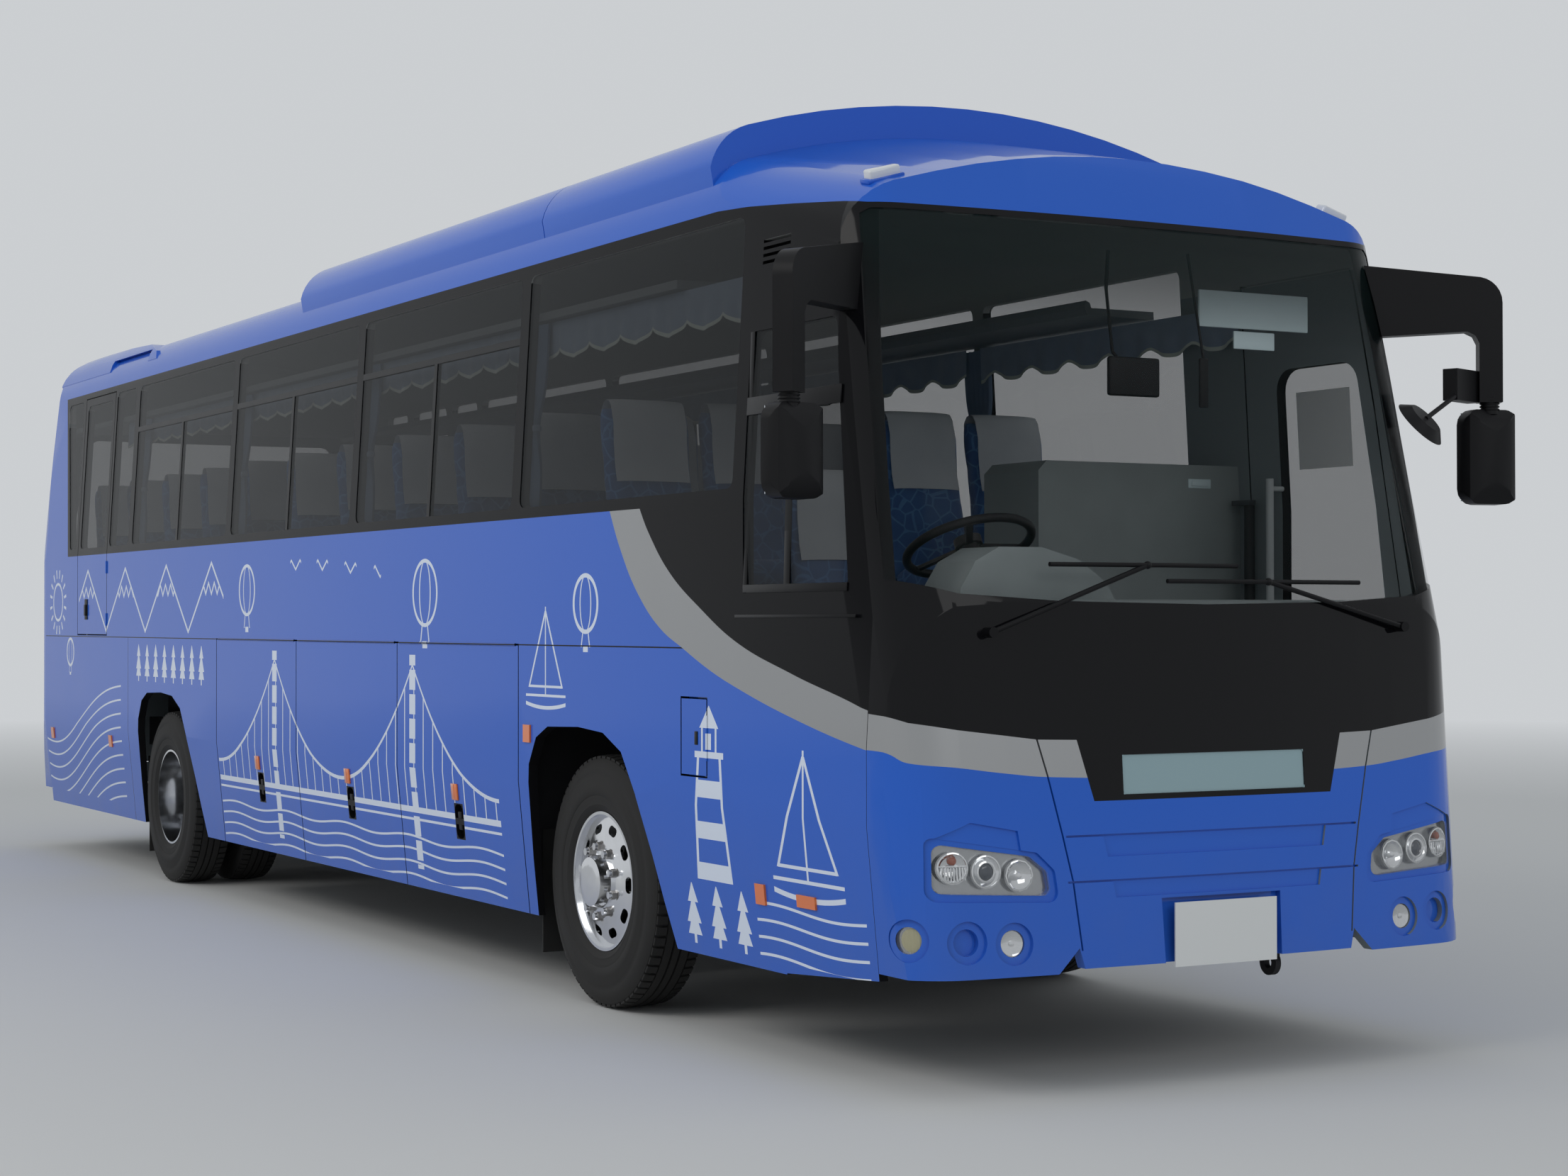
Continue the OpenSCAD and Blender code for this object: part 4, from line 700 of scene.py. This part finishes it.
def turned(bm, rows, along, centre=(0, 0, 0), steps=48):
    # Rows of (radius, place along the axis) turned once about an axis through the centre
    out = Vector((1, 0, 0)) if along == "z" else Vector((0, 0, 1))
    axis = {"x": Vector((1, 0, 0)), "y": Vector((0, 1, 0)), "z": Vector((0, 0, 1))}[along]
    verts = [bm.verts.new(Vector(centre) + out * r + axis * a) for r, a in rows]
    edges = [bm.edges.new(p) for p in zip(verts, verts[1:])]
    geom = verts + edges
    bmesh.ops.spin(bm, geom=geom, cent=centre, axis=axis, angle=math.tau, steps=steps, use_merge=True)


def prism(bm, points, push):
    # A flat outline pushed along a vector
    face = bm.faces.new([bm.verts.new(p) for p in points])
    grown = bmesh.ops.extrude_face_region(bm, geom=[face], use_keep_orig=True)["geom"]
    bmesh.ops.translate(bm, vec=push, verts=[v for v in grown if isinstance(v, bmesh.types.BMVert)])


def rod(bm, a, b, r, steps=12):
    a, b = Vector(a), Vector(b)
    place = Matrix.Translation((a + b) / 2) @ (b - a).to_track_quat("Z", "Y").to_matrix().to_4x4()
    bmesh.ops.create_cone(bm, cap_ends=True, segments=steps, radius1=r, radius2=r, depth=(b - a).length,
                          matrix=place)


def grid(bm, across, along, place):
    # A grid whose points, from 0 to 1 each way, are put in place by a function
    bmesh.ops.create_grid(bm, x_segments=across, y_segments=along, size=0.5)
    for v in bm.verts:
        v.co = place(v.co.x + 0.5, v.co.y + 0.5)


def onSide(name, rows, side, d, finish, slot, body):
    # Boxes on a side wall, in rows of (depth inwards, distance behind a place d, height)
    bm = bmesh.new()
    boxes(bm, rows, (0, d, 0))
    ontoSide(bm, side)
    piece(name, bm, finish, slot, body)


# Tyres and wheel nuts, in rows of (radius, depth from the edge)

tyre = {
    "height": 0.52, "half": 0.135, "steps": 96, "lugs": 70, "lugSize": (0.044, 0.034, 0.016),
    "lugAt": (0.083, 0.5112), "lugSlope": 0.006, "side": [(0.288, 0.027), (0.3, 0.017), (0.316, 0.009),
    (0.322, 0.01), (0.34, 0.005), (0.352, 0.006), (0.356, 0.003), (0.392, 0.001), (0.396, 0.003),
    (0.424, 0.003), (0.428, 0.005), (0.448, 0.008), (0.452, 0.007), (0.474, 0.013), (0.492, 0.02),
    (0.503, 0.028)], "tread": [(0.507, 0.044), (0.507, 0.078), (0.519, 0.08), (0.519, 0.112),
    (0.506, 0.114), (0.506, 0.12), (0.519, 0.122)]
}
wheelPlaces = {"front": (0.0, (1.03,)), "rear": (wheelbase, (1.0725, 0.7475))}
nuts = {
    "count": 10, "ring": 0.143, "front": (0.1105, 0.138), "rear": (0.0065, 0.036), "radius": 0.0185,
    "hole": 0.012, "chamfer": (0.003, 0.002), "washer": 0.0225, "washerTall": 0.005,
    "faces": {"front": 1.03, "rear": 0.91}
}


def lug(bm, side, centre, turnBy):
    # One shoulder lug, lower at its outer end
    across, up = tyre["lugAt"]
    verts = bmesh.ops.create_cube(bm, size=1)["verts"]
    bmesh.ops.scale(bm, vec=tyre["lugSize"], verts=verts)
    bmesh.ops.translate(bm, vec=(0, 0, up), verts=verts)
    for v in verts:
        if v.co.x * side > 0 and v.co.z > up:
            v.co.z -= tyre["lugSlope"]
    bmesh.ops.translate(bm, vec=(side * across, 0, 0), verts=verts)
    bmesh.ops.rotate(bm, cent=(0, 0, 0), matrix=Matrix.Rotation(turnBy, 3, "X"), verts=verts)
    bmesh.ops.translate(bm, vec=centre, verts=verts)


for w in wheels:
    end = w.split("_")[0]
    side = 1 if w.endswith("left") else -1
    body = ("wheel_" if end == "front" else "wheels_") + w
    bm = bmesh.new()
    d, across = wheelPlaces[end]
    for x in across:
        centre = (side * x, at(d), tyre["height"])
        edge = tyre["side"] + tyre["tread"]
        rows = [(r, a - tyre["half"]) for r, a in edge] + [(r, tyre["half"] - a) for r, a in reversed(edge)]
        turned(bm, rows, "x", centre, tyre["steps"])
        for i in range(tyre["lugs"]):
            lug(bm, -1, centre, math.tau * i / tyre["lugs"])
            lug(bm, 1, centre, math.tau * (i + 0.5) / tyre["lugs"])
    o = piece("tyre_" + w, bm, rubber, "tyre_rubber", body)
    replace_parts(o, ("tyre_" if end == "front" else "tyres_") + w)

    bm = bmesh.new()
    foot, top = (side * a for a in nuts[end])
    onWasher = foot + side * nuts["washerTall"]
    slope, drop = nuts["chamfer"]
    for i in range(nuts["count"]):
        a = math.tau * (i + 0.5) / nuts["count"]
        centre = (side * nuts["faces"][end], at(d) + nuts["ring"] * math.cos(a),
                  tyre["height"] + nuts["ring"] * math.sin(a))
        wide = nuts["washer"]
        turned(bm, [(0, foot), (wide, foot), (wide, onWasher), (0, onWasher)], "x", centre, 20)
        turned(bm, [(nuts["radius"], onWasher - side * 0.001), (nuts["radius"], top - side * drop),
                    (nuts["radius"] - slope, top), (nuts["hole"], top)], "x", centre, 6)
    piece("wheelNuts_" + w, bm, steelBright, "polished_wheel", body, sharp=25)
print("wheels made")


# Lamps, and what is on the luggage doors

headlamp = {
    "units": [(0.814, 0.74, 0.056, "bulb"), (0.938, 0.757, 0.058, "projector"),
    (1.058, 0.772, 0.056, "turn")], "rim": 0.009, "bars": 9, "barStep": 0.01, "bar": 0.005,
    "bulb": [(0.013, 0.0245), (0.013, 0.012), (0.009, 0.0075), (0, 0.006)], "tube": [(0.036, 0.022),
    (0.036, 0.007), (0.03, 0.0055), (0.027, 0.009), (0.027, 0.02)], "lens": [(0.027, 0.0115),
    (0.023, 0.0078), (0.014, 0.0058), (0, 0.0052)], "turn": [(0.014, 0.0245), (0.014, 0.012),
    (0.008, 0.0065), (0, 0.006)], "turnUp": 0.024, "shelf": [((-0.046, 0.007, 0.003),
    (0.046, 0.016, 0.009), 0.002)]
}
fogLamp = {
    "inner": (0.847, 0.516), "bowl": [(0.042, 0.0185), (0.034, 0.0205), (0.02, 0.0215), (0.006, 0.0218)],
    "bulb": [(0.01, 0.0215), (0.01, 0.0195), (0, 0.0185)], "glass": [(0.04, 0.001), (0.034, -0.0003),
    (0.02, -0.0008), (0, -0.001)], "turn": math.radians(49.7), "bend": 0.23, "outerZ": 0.535
}
roofMarker = {
    "place": (1.009, at(-2.01), 3.15), "tilt": math.radians(12.4), "lean": math.radians(16),
    "lens": [((-0.062, -0.026, -0.022), (0.062, 0.026, 0.022), 0.008, 3)],
    "foot": [((-0.075, -0.03, -0.026), (0.075, 0.034, -0.008), 0.006)], "footTop": -0.007
}
doorMarker = {
    "places": (1.328, 2.754, 4.192), "boxes": [((-0.008, 0, 0.776), (0.001, 0.07, 0.851), 0.003),
    ((-0.009, 0.034, 0.779), (-0.007, 0.036, 0.848))]
}
doorPull = {"places": seams["pulls"], "boxes": [((0.002, -0.02, 0.64), (0.012, 0.022, 0.725), 0.005, 3)]}


def bowl(bm, centre, r, steps):
    turned(bm, [(r + 0.006, 0.0085), (r + 0.001, 0.0075), (r, 0.01), (r * 0.82, 0.017), (r * 0.5, 0.0225),
                (0.006, 0.0245)], "y", centre, steps)


for s, label in ((-1, "right"), (1, "left")):
    bowls, lenses, ambers = bmesh.new(), bmesh.new(), bmesh.new()
    for x, z, r, kind in headlamp["units"]:
        centre = (s * x, 0.0, z)
        bowl(bowls, centre, r - headlamp["rim"], 12 if kind == "bulb" else 32)
        if kind == "bulb":
            turned(bowls, headlamp["bulb"], "y", centre, 16)
        if kind == "projector":
            turned(bowls, headlamp["tube"], "y", centre, 32)
            turned(lenses, headlamp["lens"], "y", centre, 32)
        if kind == "turn":
            turned(ambers, headlamp["turn"], "y", (centre[0], 0.0, z + headlamp["turnUp"]), 16)
            for k in range(headlamp["bars"]):
                u = centre[0] + headlamp["barStep"] * (k - (headlamp["bars"] - 1) / 2)
                box(bowls, (u, 0.009, z - 0.04), (u + headlamp["bar"], 0.014, z + 0.002), 0.001)
            boxes(bowls, headlamp["shelf"], centre)
    for bm in (bowls, lenses, ambers):
        ontoNose(bm)
    piece("lampBowls_" + label, bowls, chrome, "clear_lens", sharp=20)
    piece("lampLens_" + label, lenses, lensDark, "clear_lens")
    piece("turnBulb_" + label, ambers, orangeDark, "orange_lens")

    # Inner fog lamp: a bowl with its bulb
    x, z = fogLamp["inner"]
    bm = bmesh.new()
    turned(bm, fogLamp["bowl"], "y", (s * x, 0, z), 24)
    turned(bm, fogLamp["bulb"], "y", (s * x, 0, z), 16)
    ontoNose(bm)
    piece("fogBowl_" + label, bm, chrome, "clear_lens")

    # Outer fog lamp: a ribbed glass, bent like the corner that it sits in
    bm = bmesh.new()
    turned(bm, fogLamp["glass"], "y", steps=28)
    cx, cy, r = skin["corner"]
    for v in bm.verts:
        bend = fogLamp["turn"] + v.co.x / fogLamp["bend"]
        away = fogLamp["bend"] - v.co.y
        z = fogLamp["outerZ"] + v.co.z
        v.co = (s * (cx + away * math.sin(bend)), noseAt(0, z) + cy - away * math.cos(bend), z)
    piece("fogGlass_" + label, bm, fogGlow, "clear_lens")

    # White marker on the slope of the roof
    bm = bmesh.new()
    boxes(bm, roofMarker["lens"] + roofMarker["foot"])
    for f in bm.faces:
        f.material_index = 1 if f.calc_center_median().z < roofMarker["footTop"] else 0
    tilt = Matrix.Rotation(roofMarker["tilt"], 3, "X") @ Matrix.Rotation(s * roofMarker["lean"], 3, "Y")
    bmesh.ops.rotate(bm, cent=(0, 0, 0), matrix=tilt, verts=bm.verts)
    x, y, z = roofMarker["place"]
    bmesh.ops.translate(bm, vec=(s * x, y, z), verts=bm.verts)
    piece("roofMarker_" + label, bm, markerWhite, "clear_lens", more=(paintTop,))

    # Orange markers on the luggage doors, and pulls in the doors' recesses
    for name, e, finish, slot in (("doorMarker", doorMarker, orangeLens, "orange_lens"),
                                  ("doorPull", doorPull, mouldedBlack, "black_plastic")):
        for i, d in enumerate(e["places"]):
            tag = "_%s_%d" % (label, i + 1)
            onSide(name + tag, e["boxes"], s, d, finish, slot, "luggage_door" + tag)
print("lamps made")


# Small outside fittings on the right side, as (depth inwards, place along the bus, height)

emergencyHandle = [((-0.004, 7.825, 1.6), (0.002, 7.895, 1.735), 0.002),
                   ((-0.013, 7.838, 1.625), (-0.003, 7.882, 1.7), 0.005, 3)]
fillerLock = [((-0.003, -1.062, 1.125), (0.001, -1.038, 1.175), 0.001)]
driverWindow = [((-0.004, -2.098, 2.335), (0.003, -1.422, 2.4), 0.002),
                ((-0.003, -1.77, 1.69), (0.003, -1.726, 2.335), 0.002),
                ((-0.003, -2.168, 1.69), (0.003, -1.422, 1.72), 0.002),
                ((-0.003, -1.452, 1.69), (0.003, -1.422, 2.64), 0.002),
                ((-0.005, -2.228, 1.6), (0.001, -1.362, 1.612), 0.002)]
onSide("emergencyHandle", emergencyHandle, -1, 0, mouldedBlack, "black_plastic", "emergency_door")
onSide("fillerLock", fillerLock, -1, 0, trimBlack, "black_plastic", "filler_door")
onSide("driverWindowFrame", driverWindow, -1, 0, trimBlack, "black_plastic", "root")

# Ribbed necks and glasses of the mirrors
mirror = {
    "sides": [(-1, (-1.555, at(-2.32), 2.308), (-1.53, at(-2.31), 1.99), 0.306), (1, (1.5,
    at(-2.35), 2.393), (1.5, at(-2.34), 2.03), 0.351)], "ribs": 5, "ribStep": 0.0115,
    "turn": math.radians(-12), "half": 0.098, "depth": (0.0335, 0.0365), "rib": [(0.03, -0.004),
    (0.0365, -0.003), (0.038, 0.0), (0.0365, 0.003), (0.03, 0.004)]
}
necks, glasses = bmesh.new(), bmesh.new()
for side, neck, foot, top in mirror["sides"]:
    for k in range(mirror["ribs"]):
        turned(necks, mirror["rib"], "z", Vector(neck) + Vector((0, 0, mirror["ribStep"] * k)), 28)
    before = list(glasses.verts)
    near, far = mirror["depth"]
    box(glasses, (-mirror["half"], near, 0.014), (mirror["half"], far, top), 0.0014, 1)
    made = [v for v in glasses.verts if v not in before]
    turnBy = Matrix.Rotation(mirror["turn"] * side, 3, "Z")
    bmesh.ops.rotate(glasses, cent=(0, 0, 0), matrix=turnBy, verts=made)
    bmesh.ops.translate(glasses, vec=foot, verts=made)
piece("mirrorNecks", necks, mouldedBlack, "black_plastic")
piece("mirrorGlasses", glasses, mirrorGlass, "glass")
print("outside fittings made")


# Seats: a back and a cushion are puffed as cloth, then stand at each place

seat = {
    "aisle": 0.67, "pitch": 0.46, "width": 0.45, "first": -0.2, "step": 0.81, "rows": 11,
    "floor": 1.33, "cushion": [(-0.24, 0.395), (-0.25, 0.47), (-0.215, 0.512), (0.13, 0.49),
    (0.1647, 0.46), (0.1647, 0.395)], "back": [(0.165, 0.4), (0.165, 0.52), (0.178, 0.7),
    (0.235, 0.9), (0.25, 1.08), (0.275, 1.15), (0.31, 1.175), (0.345, 1.15), (0.345, 1.06),
    (0.3, 0.8), (0.265, 0.56), (0.25, 0.4)], "frame": [((-0.06, -0.1, 0), (0.06, 0.1, 0.385),
    0.006), ((-0.4, -0.215, 0.375), (0.4, 0.14, 0.396), 0.006)]
}
pad = {
    "rim": 0.024, "shrink": 0.012, "voxel": 0.024, "pressure": 4.0, "frames": 20, "cap": 0.013,
    "fill": 0.75
}
cover = {
    "line": [(0.206, 0.84), (0.224, 0.9), (0.238, 1.00), (0.241, 1.08), (0.264, 1.155), (0.285, 1.18),
    (0.31, 1.186), (0.335, 1.178), (0.356, 1.15), (0.357, 1.06), (0.35, 1.02)], "width": 0.34,
    "wave": 0.0015, "droop": 0.004
}
driver = {
    "x": -0.7, "d": -1.45, "floor": 0.98, "width": 0.5, "cover": 0.4, "foot": [((-0.15, -0.15, 0),
    (0.15, 0.12, 0.12), 0.01), ((-0.1, -0.1, 0.115), (0.1, 0.08, 0.398), 0.02)]
}


def applied(o):
    # The mesh of an object with its modifiers in it
    mesh = bpy.data.meshes.new_from_object(o.evaluated_get(bpy.context.evaluated_depsgraph_get()))
    o.modifiers.clear()
    return mesh


def puffed(outline, width):
    # A padded form: its outline made slightly small, remeshed and blown up as cloth
    bm = bmesh.new()
    prism(bm, [(-width / 2, a, b) for a, b in outline], (width, 0, 0))
    bmesh.ops.recalc_face_normals(bm, faces=bm.faces)
    rims = [e for e in bm.edges if abs(e.verts[0].co.x - e.verts[1].co.x) < 1e-6]
    bmesh.ops.bevel(bm, geom=rims, offset=pad["rim"], segments=2, profile=0.5, affect="EDGES", material=-1)
    bm.normal_update()
    moves = [(v, v.normal * pad["shrink"]) for v in bm.verts]
    for v, step in moves:
        v.co -= step
    o = linked("padStart", meshOf("padStart", bm))
    remesh = o.modifiers.new("remesh", "REMESH")
    remesh.mode = "VOXEL"
    remesh.voxel_size = pad["voxel"]
    o.data = applied(o)
    start = [v.co.copy() for v in o.data.vertices]
    cloth = o.modifiers.new("cloth", "CLOTH")
    cloth.settings.use_pressure = True
    cloth.settings.uniform_pressure_force = pad["pressure"]
    cloth.settings.effector_weights.gravity = 0
    for i in range(pad["frames"]):
        bpy.context.scene.frame_set(i + 1)
    o.data = applied(o)
    bpy.context.scene.frame_set(1)
    for v, a in zip(o.data.vertices, start):
        step = v.co - a
        if step.length > pad["cap"]:
            v.co = a + step * (pad["cap"] / step.length)
    done = o.data
    bpy.data.objects.remove(o)
    return done


def padded(name, form, place):
    # A puffed form stands at its place
    bm = bmesh.new()
    bm.from_mesh(form)
    bmesh.ops.smooth_vert(bm, verts=bm.verts, factor=0.5, use_axis_x=True, use_axis_y=True, use_axis_z=True)
    bmesh.ops.translate(bm, vec=place, verts=bm.verts)
    o = piece(name, bm, seatCloth, "cloth", sharp=80)
    return o


def headCover(name, x, y, z, width):
    # White cloth over the head of a seat back, hanging with a slight wave
    line = [Vector((0, a, b)) for a, b in cover["line"]]

    def place(u, v):
        t = v * (len(line) - 1)
        i = min(int(t), len(line) - 2)
        p = line[i].lerp(line[i + 1], t - i)
        wave = cover["wave"] * math.sin(u * 17 + x * 30) * abs(v - 0.55)
        return Vector((x + (u - 0.5) * width, y + p.y - wave, z + p.z - cover["droop"] * (2 * u - 1) ** 4))

    bm = bmesh.new()
    grid(bm, 10, 20, place)
    o = piece(name, bm, coverCloth, "cloth", sharp=80)


backForm = puffed(seat["back"], seat["width"])
cushionForm = puffed(seat["cushion"], seat["pitch"] + seat["width"])
frames = bmesh.new()
for row in range(seat["rows"]):
    for s, label in ((-1, "right"), (1, "left")):
        x, y, z = s * seat["aisle"], at(seat["first"] + row * seat["step"]), seat["floor"]
        tag = "%s_%d" % (label, row + 1)
        padded("seatCushion_" + tag, cushionForm, (x, y, z))
        for k in (1, 2):
            middle = x + (k - 1.5) * seat["pitch"]
            padded("seatBack_%s_%d" % (tag, k), backForm, (middle, y, z))
            headCover("headCover_%s_%d" % (tag, k), middle, y, z, cover["width"])
        boxes(frames, seat["frame"], (x, y, z))
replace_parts(piece("seatFrames", frames, trimBlack, "frame_steel"), "seats")

place = (driver["x"], at(driver["d"]), driver["floor"])
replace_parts(padded("driverCushion", puffed(seat["cushion"], driver["width"]), place), "driver_seat")
padded("seatBack_driver", puffed(seat["back"], driver["width"]), place)
headCover("headCover_driver", *place, driver["cover"])
bm = bmesh.new()
boxes(bm, driver["foot"], place)
piece("driverSeatFoot", bm, trimBlack, "frame_steel")
print("seats made")


# Curtains at the window posts, and valances

posts = [-1.378, 0.668, 2.714, 4.76, 6.806, 7.347]
curtain = {
    "half": 0.118, "waist": 0.052, "waistAt": 2.42, "pinch": 0.13, "foot": 2.085, "top": 2.868,
    "depth": 0.06, "folds": 6, "cloth": 0.44
}
tie = {"depths": (0.082, 0.04), "over": 0.008, "half": 0.017, "round": 0.012}
valance = {
    "top": 2.875, "depth": 0.085, "drop": 0.125, "scallop": 0.045, "step": 0.3, "wave": 0.009,
    "gap": 0.06, "spare": 1.01, "fringe": 0.88, "mesh": 0.018, "at": 2.8
}


def foldWave(t):
    return 2 / math.pi * math.asin(0.995 * math.sin(math.tau * t))


def curtainPoint(s, d, u, v):
    c = curtain
    z = c["foot"] + v * (c["top"] - c["foot"])
    half = c["half"] + (c["waist"] - c["half"]) * math.exp(-((z - c["waistAt"]) / c["pinch"]) ** 2)
    run = c["cloth"] / (2 * c["folds"])
    tall = 0.5 * math.sqrt(max(0.0, run ** 2 - (half / c["folds"]) ** 2))
    depth = c["depth"] + tall * foldWave(u * c["folds"])
    return Vector((s * (sideAt(z) - depth), at(d + (2 * u - 1) * half), z))


def valanceDrop(a, b, u):
    return valance["drop"] + valance["scallop"] * abs(math.sin(math.pi * u * (b - a) / valance["step"]))


def valancePoint(s, a, b, u, v):
    wave = valance["wave"] * math.sin(2 * math.tau * u * (b - a) / valance["step"]) * (1 - v)
    return Vector((s * (sideAt(valance["at"]) - valance["depth"] - wave), at(a + u * (b - a)),
                   valance["top"] - (1 - v) * valanceDrop(a, b, u)))


for s, label in ((-1, "right"), (1, "left")):
    for i, d in enumerate(posts[1:5]):
        bm = bmesh.new()
        grid(bm, curtain["folds"] * 8, 26, lambda u, v: curtainPoint(s, d, u, v))
        o = piece("curtain_%s_%d" % (label, i + 1), bm, curtainCloth, "curtain_cloth", sharp=80)
        bm = bmesh.new()
        waistAt, across = curtain["waistAt"], curtain["waist"] + tie["over"]
        lo, hi = ((s * (sideAt(waistAt) - depth), at(d + k * across), waistAt + k * tie["half"])
                  for depth, k in zip(tie["depths"], (-1, 1)))
        box(bm, lo, hi, tie["round"], 3)
        t = piece("curtainTie_%s_%d" % (label, i + 1), bm, valanceCloth, "curtain_cloth")
        if s < 0 and i == 0:
            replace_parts(o, "curtains")

    for i, (a, b) in enumerate(zip(posts, posts[1:])):
        a, b = a + valance["gap"], b - valance["gap"]
        bm = bmesh.new()
        grid(bm, int((b - a) / valance["mesh"]), 10, lambda u, v: valancePoint(s, a, b, u, v))
        for f in bm.faces:
            middle = f.calc_center_median()
            drop = valanceDrop(a, b, (middle.y - at(a)) / (b - a))
            f.material_index = 1 if valance["top"] - middle.z > drop * valance["fringe"] else 0
        area = sum(f.calc_area() for f in bm.faces)
        o = piece("valance_%s_%d" % (label, i + 1), bm, valanceCloth, "curtain_cloth", sharp=80,
                  more=(fringeCloth,))
print("curtains made")


# Pieces that show through the windshield and the entrance door, in places behind the front axle

signAt = noseAt(0.5, 2.73) + 0.055 - axleFront
inside = {
    "insideMirror": (mouldedBlack, "black_plastic", "root"),
    "insideMirrorGlass": (mirrorGlass, "glass", "root"),
    "signBoard": (signWhite, "grey_plastic", "root"),
    "slimMirror": (mouldedBlack, "black_plastic", "root"),
    "cabinetHandle": (signWhite, "grey_plastic", "root"),
    "doorRail": (coverPlastic, "grey_plastic", "entrance_door"),
}
panels = {
    "insideMirror": [((-0.183, -2.214, 2.393), (0.04, -2.188, 2.534), 0.01, 3)],
    "insideMirrorGlass": [((-0.172, -2.1885, 2.404), (0.029, -2.185, 2.523), 0.001)],
    "signBoard": [((0.24, signAt, 2.665), (0.75, signAt + 0.012, 2.8), 0.004),
                  ((0.4, signAt, 2.59), (0.59, signAt + 0.008, 2.655), 0.003)],
    "slimMirror": [((0.192, -2.25, 2.36), (0.232, -2.236, 2.54), 0.006, 3)],
    "cabinetHandle": [((0.93, -1.2235, 2.13), (1.045, -1.2165, 2.168), 0.003),
                      ((0.944, -1.2285, 2.138), (1.031, -1.2225, 2.16), 0.003)],
}
rods = {
    "insideMirror": [((-0.07, -2.19, 2.47), (-0.105, -2.12, 2.56), 0.006),
                     ((-0.105, -2.12, 2.56), (-0.125, -2.11, 2.79), 0.006),
                     ((-0.125, -2.11, 2.79), (-0.13, -2.13, 2.925), 0.007)],
    "slimMirror": [((0.212, -2.243, 2.535), (0.212, -2.15, 2.93), 0.005)],
    "doorRail": [((1.125, -1.5, 1.4), (1.125, -1.5, 2.16), 0.016, 20),
                 ((1.12, -1.5, 1.44), (1.192, -1.5, 1.44), 0.01, 14),
                 ((1.12, -1.5, 2.12), (1.192, -1.5, 2.12), 0.01, 14)],
}
axle = Vector((0, axleFront, 0))
for name, (finish, slot, body) in inside.items():
    bm = bmesh.new()
    boxes(bm, panels.get(name, ()), axle)
    for a, b, *size in rods.get(name, ()):
        rod(bm, Vector(a) + axle, Vector(b) + axle, *size)
    piece(name, bm, finish, slot, body)

# Blank sheet of paper inside the entrance door's window
blankPaper = [((0.012, -1.89, 2.195), (0.0128, -1.57, 2.505))]
onSide("blankPaper", blankPaper, 1, 0, plateWhite, "grey_plastic", "entrance_door")
print("inside pieces made")


# Floor and light

studio = {
    "floor": (0.68, 0.68, 0.67), "grain": 0.985, "size": 90, "back": (0.6, 0.62, 0.64), "near": 12.0,
    "far": 30.0, "sky": (0.9, 0.95, 1.0), "skyPower": 0.55
}
lamps = {
    "keyLamp": {"place": (-14, -3, 11), "aim": (0, 0, 1.5), "size": (14, 6), "power": 680.0,
    "colour": (1.0, 0.98, 0.95)}, "frontLamp": {"place": (1, -20, 8), "aim": (0, -5, 1.5), "size": (10, 5),
    "power": 240.0, "colour": (1, 1, 1)}
}

bm = bmesh.new()
bmesh.ops.create_grid(bm, x_segments=1, y_segments=1, size=studio["size"])
floor = linked("studioFloor", meshOf("studioFloor", bm))
cast = Finish("floorFinish", Roughness=0.9, Specular_IOR_Level=0.15)
dark = tuple(c * studio["grain"] for c in studio["floor"])
cast.set(Base_Color=cast.blend(cast.noise(3.0, detail=6) * 0.24, dark, studio["floor"]))
x, y, z = cast.axes()
away = ((x * x + y * y).root() - studio["near"]) / (studio["far"] - studio["near"])
glow = cast.make("Emission", {"Color": studio["back"], "Strength": 1.0})
ground = Wire(cast.tree, cast.shader.outputs[0])
mixed = cast.make("MixShader", {0: away.max(0).min(1) * cast.seenRays(), 1: ground, 2: glow})
ends = [n for n in cast.tree.nodes if n.type == "OUTPUT_MATERIAL"]
plug(cast.tree, mixed, ends[0].inputs["Surface"])
floor.data.materials.append(cast.mat)
floor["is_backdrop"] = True

world = bpy.data.worlds.new("studioWorld")
bpy.context.scene.world = world
world.use_nodes = True
sky = Graph(world.node_tree)
sky.tree.nodes.clear()
light = sky.make("Background", {"Color": studio["sky"], "Strength": studio["skyPower"]})
back = sky.make("Background", {"Color": studio["back"], "Strength": 1.0})
mixed = sky.make("MixShader", {0: sky.seenRays(), 1: light, 2: back})
plug(sky.tree, mixed, sky.tree.nodes.new("ShaderNodeOutputWorld").inputs["Surface"])

for name, e in lamps.items():
    data = bpy.data.lights.new(name, "AREA")
    data.shape = "RECTANGLE"
    data.size, data.size_y = e["size"]
    data.energy = e["power"]
    data.color = e["colour"]
    aim = (Vector(e["aim"]) - Vector(e["place"])).to_track_quat("-Z", "Y").to_matrix().to_4x4()
    linked(name, data).matrix_world = Matrix.Translation(e["place"]) @ aim
print("stage set")


boxes = {"cad": [list(v) for v in cadBox], "visual": [list(v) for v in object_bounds()]}
